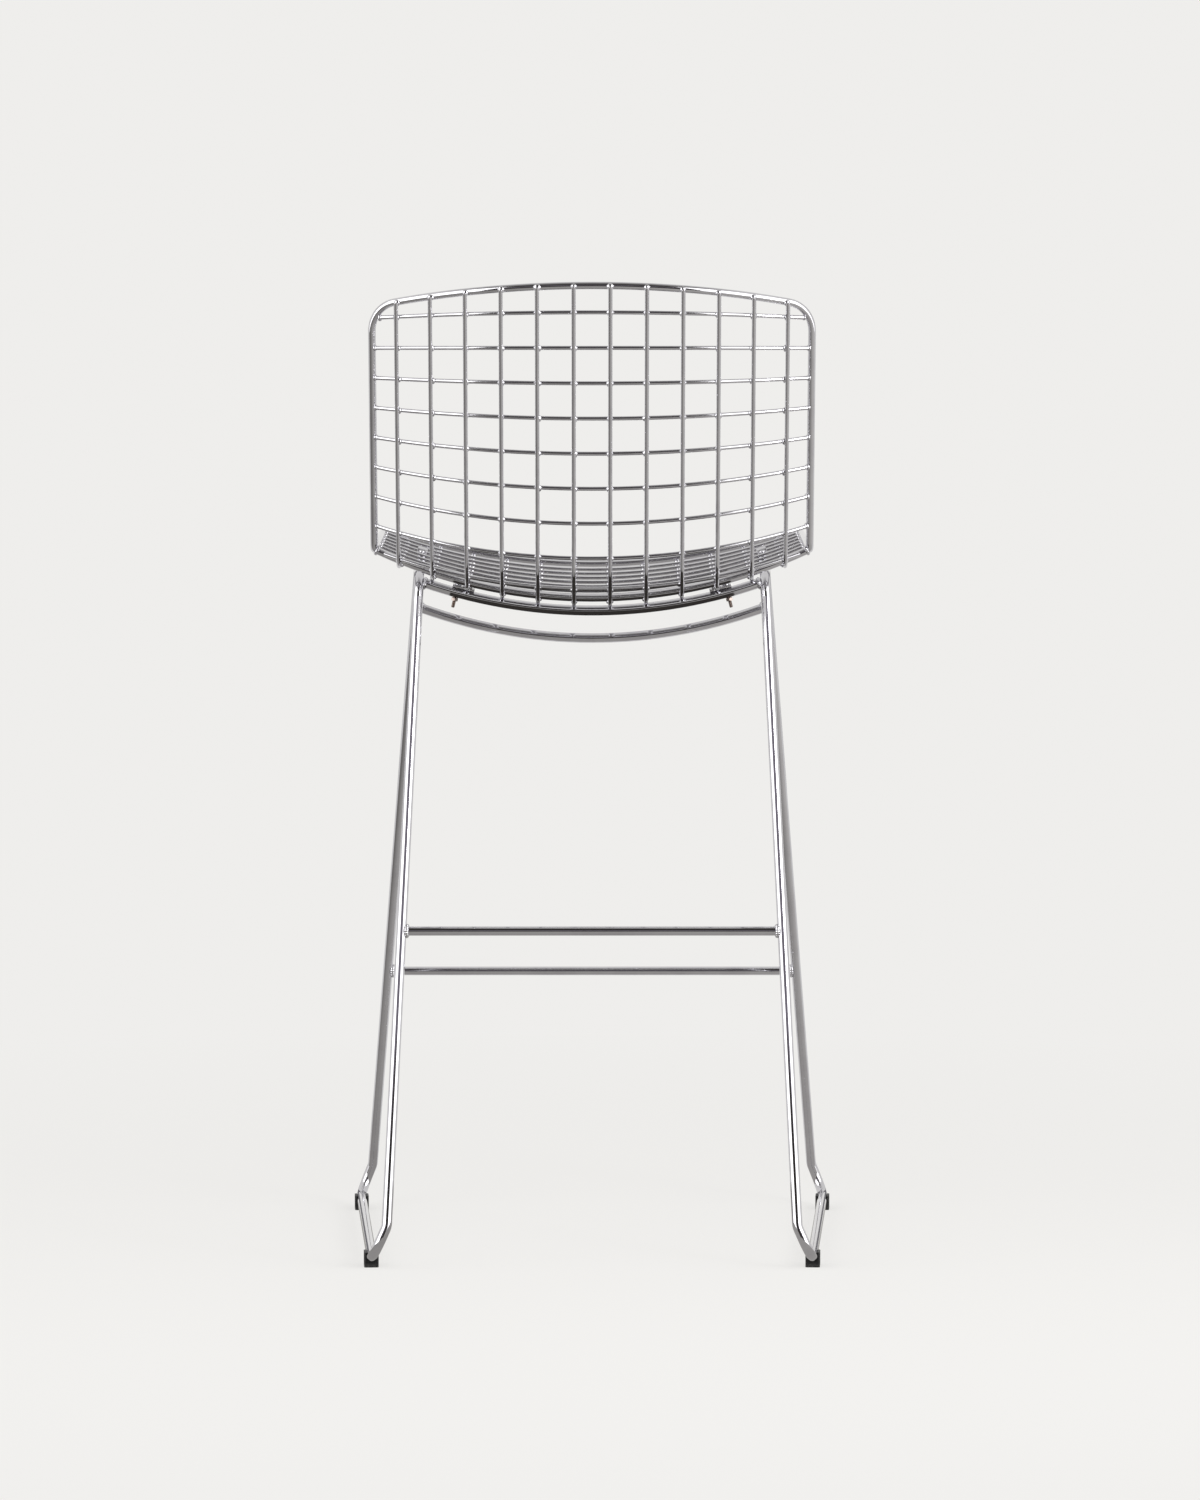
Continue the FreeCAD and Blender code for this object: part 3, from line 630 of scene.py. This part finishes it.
def plastic_material():
    """Moulded plastic of the glides, scuffed towards the floor."""
    known = bpy.data.materials.get("glide_plastic")
    if known:
        return known
    finish = settings("stool_finish")
    values = {"Film scale": 240.0, "Grain scale": 1700.0, "Clean": 0.42, "Marked": 0.66}
    material = marked_material("glide_plastic", finish.plastic, finish.plastic_scuff, values, 0.0,
                               PLASTIC_GRAIN)
    tree = material.node_tree
    sole = spread_range(tree, object_axis(tree, "Z"), 0.0, SOLE_HEIGHT, 1.0, 0.0)
    place = tree.nodes.new("ShaderNodeTexCoord").outputs["Object"]
    rub = spread_range(tree, noise(tree, place, scale=420.0, detail=6.0, roughness=0.7), 0.42, 0.66)
    rubbed = math_node(tree, "MULTIPLY", sole, rub)
    film_weight = 0.18
    film = tree.nodes["Marks"].outputs["Film"]
    scuffs = math_node(tree, "MULTIPLY_ADD", film, film_weight, rubbed, clamp=True)
    tree.links.new(scuffs, tree.nodes["Tint"].inputs["Factor"])
    tree.nodes["Principled BSDF"].inputs["Specular IOR Level"].default_value = PLASTIC_SPECULAR
    return material


def wear(name, material):
    """Give a CAD node its material."""
    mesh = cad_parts[name].data
    mesh.materials.clear()
    mesh.materials.append(material)


class STOOL_OT_finish_shell(bpy.types.Operator):
    """Chrome the rim, the rear rod and the wires of the shell"""

    bl_idname = "stool.finish_shell"
    bl_label = "Finish Shell"

    def execute(self, context):
        rod = shared_material("rim_chrome", chrome_material, 26.0)
        wire = wire_material()
        for name in ("shell_rim", "seat_rear_rod"):
            wear(name, rod)
        for name in LONG_WIRES + CROSS_WIRES:
            wear(name, wire)
        return {"FINISHED"}


class STOOL_OT_finish_base(bpy.types.Operator):
    """Chrome the side frames, crossbars and footrests"""

    bl_idname = "stool.finish_base"
    bl_label = "Finish Base"

    def execute(self, context):
        rod = shared_material("frame_chrome", chrome_material, 18.0)
        for name in SIDE_FRAMES + BARS:
            wear(name, rod)
        return {"FINISHED"}


def nub_mesh():
    """Low round nub of unit radius."""
    mesh = bpy.data.meshes.new("weld_nub")
    work = bmesh.new()
    bmesh.ops.create_icosphere(work, subdivisions=2, radius=1.0)
    for face in work.faces:
        face.smooth = True
    work.to_mesh(mesh)
    work.free()
    return mesh


def crossing_spots(size):
    """Welds where the long wires cross the cross wires, the rear rod and the rim."""
    rods = LONG_WIRES + CROSS_WIRES + ["shell_rim", "seat_rear_rod"]
    surfaces = {name: surface_of(name) for name in rods}
    nub = (size.nub_spread, size.nub_spread, size.nub_depth)
    lap = (size.lap_spread, size.lap_spread, size.lap_depth)
    spots = []
    for long_name in LONG_WIRES:
        place = vertices_of(long_name)
        x = (place[:, 0].min() + place[:, 0].max()) / 2
        for cross_name in CROSS_WIRES + ["seat_rear_rod"]:
            cross = vertices_of(cross_name)
            near = cross[np.argsort(abs(cross[:, 0] - x))[:NEAR_VERTICES]].mean(0)
            if abs(near[0] - x) > CROSSING_REACH:
                continue
            spot, gap = touching_point(surfaces[cross_name], surfaces[long_name], near)
            if gap.length < WELD_REACH:
                spots.append((spot, gap.normalized(), X_AXIS, nub))
        for centre, outward, _ in caps_of(long_name):
            inside = centre - outward * LAP_INSET
            spot, gap = touching_point(surfaces["shell_rim"], surfaces[long_name], inside)
            spots.append((spot, gap.normalized(), X_AXIS, lap))
    return spots


def butt_spots(size):
    """Welds where the ends of the cross wires butt against the rim."""
    butt = (size.butt_spread, size.butt_spread, size.butt_depth)
    spots = []
    for name in BACK_WIRES + SEAT_WIRES:
        for centre, outward, _ in caps_of(name):
            spots.append((centre, outward, Z_AXIS, butt))
    return spots


class STOOL_OT_grid_welds(bpy.types.Operator):
    """Weld nubs where wires cross, lap on the rim and butt against it"""

    bl_idname = "stool.grid_welds"
    bl_label = "Grid Welds"

    def execute(self, context):
        size = settings("stool_welds")
        spots = crossing_spots(size) + butt_spots(size)
        piece = stand("grid_welds", spots, nub_mesh(), weld_material(), size.unevenness, NUB_SEED)
        keep(piece)
        return {"FINISHED"}


def tip_mesh(segments=12, rows=4):
    """Dome of unit radius, cut off flat near its top."""
    angles = [math.pi / 2 * row / rows for row in range(rows)]
    mesh = rings_mesh("wire_tip", [circle(math.cos(angle), math.sin(angle), segments) for angle in angles])
    smooth(mesh)
    return mesh


class STOOL_OT_wire_tips(bpy.types.Operator):
    """Domed tips on the ends of the long wires"""

    bl_idname = "stool.wire_tips"
    bl_label = "Wire Tips"

    def execute(self, context):
        spots = []
        for name in LONG_WIRES:
            for centre, outward, radius in caps_of(name):
                spots.append((centre, outward, X_AXIS, (radius, radius, radius * TIP_DOME)))
        piece = stand("wire_tips", spots, tip_mesh(), wire_material())
        keep(piece)
        return {"FINISHED"}


class STOOL_OT_frame_welds(bpy.types.Operator):
    """Weld beads round the ends of the crossbars, footrests and rear rod"""

    bl_idname = "stool.frame_welds"
    bl_label = "Frame Welds"

    def execute(self, context):
        size = settings("stool_welds")
        surfaces = {name: surface_of(name) for name in SIDE_FRAMES + ["shell_rim"]}
        points = []
        edges = []
        thickness = []
        for name in BARS + ["seat_rear_rod"]:
            bead = size.footrest_bead if name.endswith("footrest") else size.bead
            for centre, outward, radius in caps_of(name):
                carrier = "side_frame_left" if centre.x > 0 else "side_frame_right"
                surface = surfaces["shell_rim" if name == "seat_rear_rod" else carrier]
                side = outward.orthogonal().normalized()
                other = outward.cross(side)
                first = len(points)
                for step, turn in enumerate(turns(BEAD_STEPS)):
                    edge = centre + (side * math.cos(turn) + other * math.sin(turn)) * radius
                    points.append((edge + surface.find_nearest(edge)[0]) / 2)
                    edges.append((first + step, first + (step + 1) % BEAD_STEPS))
                    thickness.append(bead)
        paths = bpy.data.meshes.new("bead_paths")
        paths.from_pydata(points, edges, [])
        paths.attributes.new("thickness", "FLOAT", "POINT").data.foreach_set("value", thickness)
        values = {"Ripple": size.ripple, "Ripples": size.ripples, "Material": weld_material()}
        keep(grow("frame_welds", paths, shared_tree(bead_tree, "bead_along_paths"), values))
        return {"FINISHED"}


def rounded_copy(node, name, radius, material):
    """Copy of a CAD node with its edges rounded."""
    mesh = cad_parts[node].data.copy()
    mesh.name = name
    work = bmesh.new()
    work.from_mesh(mesh)
    bmesh.ops.remove_doubles(work, verts=work.verts, dist=MERGE)
    bmesh.ops.dissolve_limit(work, angle_limit=math.radians(FLAT_DEGREES), verts=work.verts,
                             edges=work.edges)
    work.to_mesh(mesh)
    work.free()
    mesh.materials.clear()
    mesh.materials.append(material)
    source = link(bpy.data.objects.new(f"{name}_source", mesh))
    bevel = source.modifiers.new("Round", "BEVEL")
    bevel.width = radius
    bevel.segments = ROUND_SEGMENTS
    bevel.limit_method = "ANGLE"
    bevel.angle_limit = math.radians(EDGE_DEGREES)
    bevel.harden_normals = False
    piece = plain_piece(source, name)
    sharpen(piece, CRISP_DEGREES)
    return piece


class STOOL_OT_seat_clips(bpy.types.Operator):
    """Pressed seat clips with rounded edges"""

    bl_idname = "stool.seat_clips"
    bl_label = "Seat Clips"

    def execute(self, context):
        radius = settings("stool_fittings").clip_round
        for node in CLIPS:
            piece = rounded_copy(node, f"pressed_{node}", radius, clip_material())
            keep(piece, [node])
        return {"FINISHED"}


def screw_spots():
    """Foot of each clip screw, its direction towards the head, and its length."""
    spots = []
    for island in islands_of("clip_screws"):
        centre = island.mean(0)
        axis = np.linalg.svd(island - centre)[2][0]
        axis *= np.sign(axis[2])
        along = (island - centre) @ axis
        foot = centre + axis * along.min()
        radial = (island - foot) - np.outer((island - foot) @ axis, axis)
        foot += radial[along < along.min() + END_FACE].mean(0)
        spots.append((Vector(foot), Vector(axis), along.max() - along.min()))
    return spots


def screw_mesh(size, full_length):
    """Threaded shank under a domed head with a six-sided socket."""
    segments, turn_rows, dome_rows = 36, 5, 6
    plain_shank, edge, skirt, crown = 6 * MM, 0.3 * MM, 0.9 * MM, 1.3 * MM
    foot_depth, lead_depth = size.thread_depth * 1.6, size.thread_depth * 0.8
    socket_rim, bevel_width, bevel_depth = size.socket_radius * 1.5, 0.12 * MM, 0.15 * MM
    under_head = full_length - size.head_height
    thread_end = under_head - plain_shank
    rings = [circle(size.screw_radius - foot_depth, 0.0, segments)]
    rows = int(thread_end / size.thread_pitch * turn_rows)
    for row in range(1, rows + 1):
        z = thread_end * row / rows
        lead = max(0.0, 1 - z / size.thread_pitch) * lead_depth
        fade = min(1.0, (thread_end - z) / size.thread_pitch)
        ring = []
        for turn in turns(segments):
            phase = (z / size.thread_pitch - turn / (2 * math.pi)) % 1.0
            depth = size.thread_depth * abs(2 * phase - 1)
            radius = size.screw_radius - depth * fade - lead
            ring.append((radius * math.cos(turn), radius * math.sin(turn), z))
        rings.append(ring)
    head, top = size.head_radius, full_length
    rings.append(circle(size.screw_radius, under_head, segments))
    rings.append(circle(head - edge, under_head, segments))
    rings.append(circle(head, under_head + edge, segments))
    low = under_head + skirt
    for row in range(1, dome_rows):
        angle = math.pi / 2 * row / dome_rows
        radius = head - crown * (1 - math.cos(angle))
        rings.append(circle(radius, low + (top - low) * math.sin(angle), segments))
    rings.append(circle(socket_rim, top, segments))
    rings.append(hexagon(size.socket_radius + bevel_width, top, segments))
    rings.append(hexagon(size.socket_radius, top - bevel_depth, segments))
    rings.append(hexagon(size.socket_radius, top - size.socket_depth, segments))
    return rings_mesh("clip_screw", rings)


def nut_mesh(size):
    """Six-sided nut with chamfered corners, about its middle."""
    segments, edge = 48, 0.3 * MM
    face_radius = size.nut_flat * 0.985
    half = size.nut_height / 2
    corner = size.nut_flat / math.cos(math.pi / 6)
    drop = size.nut_chamfer / (corner - size.nut_flat)

    def chamfered(sign):
        return [(x, y, sign * (half - (math.hypot(x, y) - face_radius) * drop))
                for x, y, _ in hexagon(size.nut_flat, 0, segments)]

    rings = [
        circle(size.nut_bore, -half + edge, segments),
        circle(size.nut_bore + edge, -half, segments),
        circle(face_radius, -half, segments),
        chamfered(-1),
        chamfered(1),
        circle(face_radius, half, segments),
        circle(size.nut_bore + edge, half, segments),
        circle(size.nut_bore, half - edge, segments),
    ]
    return rings_mesh("clip_nut", rings, closed=True)


class STOOL_OT_clip_screws(bpy.types.Operator):
    """Threaded screws with domed heads through the clips and rods"""

    bl_idname = "stool.clip_screws"
    bl_label = "Clip Screws"

    def execute(self, context):
        size = settings("stool_fittings")
        screws = screw_spots()
        shape = screw_mesh(size, min(full_length for _, _, full_length in screws))
        spots = [(foot, axis, X_AXIS, AS_MADE) for foot, axis, _ in screws]
        piece = stand("threaded_screws", spots, shape, steel_material())
        sharpen(piece, SCREW_DEGREES)
        plated = len(piece.data.materials)
        piece.data.materials.append(clip_material())
        below_head = size.head_height + HEAD_MARGIN
        for face in piece.data.polygons:
            foot, axis, full_length = min(screws, key=lambda screw: (screw[0] - face.center).length)
            if (face.center - foot).dot(axis) > full_length - below_head:
                face.material_index = plated
        keep(piece, ["clip_screws"])
        return {"FINISHED"}


class STOOL_OT_clip_nuts(bpy.types.Operator):
    """Chamfered nuts below the rods"""

    bl_idname = "stool.clip_nuts"
    bl_label = "Clip Nuts"

    def execute(self, context):
        screws = screw_spots()
        spots = []
        for island in islands_of("clip_nuts"):
            middle = Vector(island.mean(0))
            axis = min(screws, key=lambda screw: (screw[0] - middle).length)[1]
            spots.append((middle, axis, X_AXIS, AS_MADE))
        piece = stand("hexagon_nuts", spots, nut_mesh(settings("stool_fittings")), steel_material())
        sharpen(piece, NUT_DEGREES)
        keep(piece, ["clip_nuts"])
        return {"FINISHED"}


class STOOL_OT_glides(bpy.types.Operator):
    """Moulded floor glides with rounded edges"""

    bl_idname = "stool.glides"
    bl_label = "Glides"

    def execute(self, context):
        radius = settings("stool_fittings").glide_round
        for node in GLIDES:
            keep(rounded_copy(node, f"moulded_{node}", radius, plastic_material()), [node])
        return {"FINISHED"}


def seen_share(tree):
    """1 for what the camera sees, straight or by reflection or through glass, and 0 for light."""
    path = tree.nodes.new("ShaderNodeLightPath").outputs
    mirrored = math_node(tree, "MAXIMUM", path["Is Camera Ray"], path["Is Glossy Ray"])
    return math_node(tree, "MAXIMUM", mirrored, path["Is Transmission Ray"])


def pale_material(studio):
    """Floor whose pale colour shows as written and which takes only a faint shadow."""
    material = bpy.data.materials.new("pale_floor")
    material.use_nodes = True
    tree = material.node_tree
    tree.nodes.clear()
    new, wire = tree.nodes.new, tree.links.new
    away = new("ShaderNodeVectorMath")
    away.operation = "LENGTH"
    wire(new("ShaderNodeTexCoord").outputs["Object"], away.inputs[0])
    distance = away.outputs["Value"]
    start = studio.fade * FADE_START
    clear = spread_range(tree, distance, start, studio.fade, 1 - studio.shade, 1.0)
    matt = new("ShaderNodeBsdfDiffuse")
    matt.inputs["Color"].default_value = (*studio.pale, 1)
    glow = new("ShaderNodeEmission")
    glow.inputs["Color"].default_value = (*studio.pale, 1)
    wire(spread_range(tree, distance, start, studio.fade, NEAR_GLOW, 1.0), glow.inputs["Strength"])
    both = new("ShaderNodeMixShader")
    wire(math_node(tree, "MULTIPLY", seen_share(tree), clear), both.inputs["Fac"])
    wire(matt.outputs[0], both.inputs[1])
    wire(glow.outputs[0], both.inputs[2])
    out = new("ShaderNodeOutputMaterial")
    wire(both.outputs[0], out.inputs["Surface"])
    return material


def pale_world(studio):
    """Pale surroundings for camera and reflections, and soft light from all round."""
    world = bpy.data.worlds.new("pale_room")
    world.use_nodes = True
    tree = world.node_tree
    shade = tree.nodes["Background"]
    shade.inputs["Color"].default_value = (*studio.pale, 1)
    strength = spread_range(tree, seen_share(tree), 0.0, 1.0, studio.room, 1.0)
    tree.links.new(strength, shade.inputs["Strength"])
    bpy.context.scene.world = world


def level(half, start, end, height):
    """Corners of a level card from one Y to another; it faces up if Y grows, and else down."""
    return [(-half, start, height), (half, start, height), (half, end, height), (-half, end, height)]


def upright(left, right, place, low, high):
    """Corners of an upright card across the view, at one Y."""
    return [(left, place, low), (right, place, low), (right, place, high), (left, place, high)]


def sheet(name, corners, material):
    """Flat card of the studio."""
    mesh = bpy.data.meshes.new(name)
    mesh.from_pydata(corners, [], [tuple(range(len(corners)))])
    mesh.materials.append(material)
    card = link(bpy.data.objects.new(name, mesh))
    return card


def painted_reflection_card(name, corners, tint, graded=None, one_sided=False):
    """Glowing card that only reflections see, a painted reflection that lights nothing and casts no shadow;
    it may go over to a second tint, or show only where it faces.
    """
    material = bpy.data.materials.new(name)
    material.use_nodes = True
    tree = material.node_tree
    tree.nodes.clear()
    glow = tree.nodes.new("ShaderNodeEmission")
    glow.inputs["Color"].default_value = (*tint, 1)
    look = glow.outputs[0]
    if graded:
        along = spread_range(tree, object_axis(tree, graded["axis"]), graded["start"], graded["end"])
        share = math_node(tree, "POWER", along, graded["power"])
        mix = colour_mix(tree, share, tint, graded["tint"])
        tree.links.new(mix.outputs["Result"], glow.inputs["Color"])
    if one_sided:
        faces = tree.nodes.new("ShaderNodeMixShader")
        tree.links.new(tree.nodes.new("ShaderNodeNewGeometry").outputs["Backfacing"], faces.inputs["Fac"])
        tree.links.new(look, faces.inputs[1])
        tree.links.new(tree.nodes.new("ShaderNodeBsdfTransparent").outputs[0], faces.inputs[2])
        look = faces.outputs[0]
    out = tree.nodes.new("ShaderNodeOutputMaterial")
    tree.links.new(look, out.inputs["Surface"])
    card = sheet(name, corners, material)
    card.visible_camera = False
    card.visible_diffuse = False
    card.visible_shadow = False
    card.visible_transmission = False


def hang_painted_reflections(studio):
    """Painted reflections: glowing cards that shape what the chrome mirrors, in metres."""
    half, behind, far, floor, floor_join = 4.0, 7.6, -8.0, 0.004, 3.0
    dark, pale = studio.dark_painted_reflection, studio.pale
    # Dark painted reflections behind the camera and far overhead
    painted_reflection_card("camera_cloth", upright(-half, half, behind, low=0, high=7), dark)
    painted_reflection_card("ceiling_cloth", level(1.0, start=behind, end=-4.2, height=5.2), dark)
    # Painted reflection above the stool, dark towards the camera and going pale behind the stool
    painted_reflection_card("overhead_cloth", level(0.4, start=1.0, end=-1.5, height=1.6), dark,
          {"tint": pale, "axis": "Y", "start": 1.0, "end": -0.1, "power": 2.0})
    # Lavender band of painted reflection above the camera, which the legs mirror
    painted_reflection_card("band_cloth", upright(-half, half, behind - 0.1, low=2.2, high=3.8), studio.band_cloth)
    # Painted reflection of a floor under the stool: grey on the left going to light on the right, so the
    # chrome mirrors a darker left side and a lighter right side
    painted_reflection_card("floor_cloth", level(half, start=-0.3, end=floor_join, height=floor), studio.grey_painted_reflection,
          {"tint": studio.light_painted_reflection, "axis": "X", "start": 1.6, "end": -1.6, "power": 1.0})
    # Dark painted reflection of the floor towards the camera
    painted_reflection_card("dark_floor_cloth", level(half, start=floor_join, end=behind, height=floor), dark)
    # Painted shade: a dark card below the back of the seat, seen only from above, which the rods over it
    # mirror as darkness
    painted_reflection_card("under_cloth", level(0.17, start=0.05, end=0.22, height=0.66), dark, one_sided=True)
    # Painted highlight: a pale card near the back of the seat, seen only from below, which the tops of the
    # rods under it mirror
    painted_reflection_card("over_cloth", level(0.17, start=0.28, end=0.19, height=0.745), pale, one_sided=True)
    # Grey painted reflections on the far side of the stool
    for side, name in ((1, "far_cloth_left"), (-1, "far_cloth_right")):
        painted_reflection_card(name, upright(side * 1.6, side * 4.4, far, low=0, high=4), studio.far_painted_reflection)


def softbox(name, azimuth, distance, width, height, middle, radiance):
    """Soft lamp at an azimuth from the camera's side, facing the stool."""
    lamp = bpy.data.lights.new(name, "AREA")
    lamp.shape = "RECTANGLE"
    lamp.size = width
    lamp.size_y = height
    lamp.energy = radiance * math.pi * width * height
    item = link(bpy.data.objects.new(name, lamp))
    turn = math.radians(azimuth)
    item.location = (distance * math.sin(turn), distance * math.cos(turn), middle)
    aim = Vector((0, 0, middle)) - item.location
    item.rotation_euler = aim.to_track_quat("-Z", "Y").to_euler()


class STOOL_OT_studio(bpy.types.Operator):
    """Pale floor, softboxes, painted reflection cards and the camera"""

    bl_idname = "stool.studio"
    bl_label = "Studio"

    def execute(self, context):
        studio = settings("stool_studio")
        scene = context.scene
        scene.view_settings.view_transform = "Standard"
        pale_world(studio)
        sheet("studio_floor", level(FLOOR_REACH, -FLOOR_REACH, FLOOR_REACH, 0), pale_material(studio))
        hang_painted_reflections(studio)
        for name, azimuth in (("softbox_left", 54), ("softbox_right", -54)):
            softbox(name, azimuth, distance=3.4, width=3.3, height=4.2, middle=2.15, radiance=studio.softbox)
        softbox("side_lamp", -46, distance=3.3, width=0.7, height=0.7, middle=1.5, radiance=studio.side_lamp)
        camera = link(bpy.data.objects.new("photo_camera", bpy.data.cameras.new("photo_camera")))
        camera.location = studio.camera_place
        camera.rotation_euler = (math.pi / 2 - studio.camera_tip, 0, math.pi - studio.camera_turn)
        camera.data.sensor_fit = "VERTICAL"
        camera.data.sensor_height = SENSOR_HEIGHT
        camera.data.lens = SENSOR_HEIGHT * studio.focal_pixels / PICTURE_HEIGHT
        camera.data.clip_end = 100.0
        scene.camera = camera
        return {"FINISHED"}


class STOOL_PT_panel(bpy.types.Panel):
    """Steps and sizes of the stool"""

    bl_idname = "STOOL_PT_panel"
    bl_label = "Wire Bar Stool"
    bl_space_type = "VIEW_3D"
    bl_region_type = "UI"
    bl_category = "Stool"

    def draw(self, context):
        for name in GROUPS:
            group = settings(name)
            box = self.layout.box()
            for key in group.__annotations__:
                box.prop(group, key)
        for operator in OPERATORS:
            self.layout.operator(operator.bl_idname)


GROUPS = {"stool_welds": StoolWeldSizes, "stool_fittings": StoolFittingSizes, "stool_finish": StoolFinish,
          "stool_studio": StoolStudio}
OPERATORS = (STOOL_OT_finish_shell, STOOL_OT_finish_base, STOOL_OT_grid_welds, STOOL_OT_wire_tips,
             STOOL_OT_frame_welds, STOOL_OT_seat_clips, STOOL_OT_clip_screws, STOOL_OT_clip_nuts,
             STOOL_OT_glides, STOOL_OT_studio)


def register():
    """Register the classes and put the settings on the scene."""
    for group in GROUPS.values():
        bpy.utils.register_class(group)
    for name, group in GROUPS.items():
        setattr(bpy.types.Scene, name, PointerProperty(type=group))
    for item in OPERATORS + (STOOL_PT_panel,):
        bpy.utils.register_class(item)


def unregister():
    """Take the settings off the scene and the classes out of the register."""
    for item in reversed(OPERATORS + (STOOL_PT_panel,)):
        bpy.utils.unregister_class(item)
    for name, group in GROUPS.items():
        delattr(bpy.types.Scene, name)
        bpy.utils.unregister_class(group)


def main():
    """Build every piece."""
    register()
    for operator in OPERATORS:
        group, name = operator.bl_idname.split(".")
        getattr(getattr(bpy.ops, group), name)()


if __name__ == "__main__":
    main()
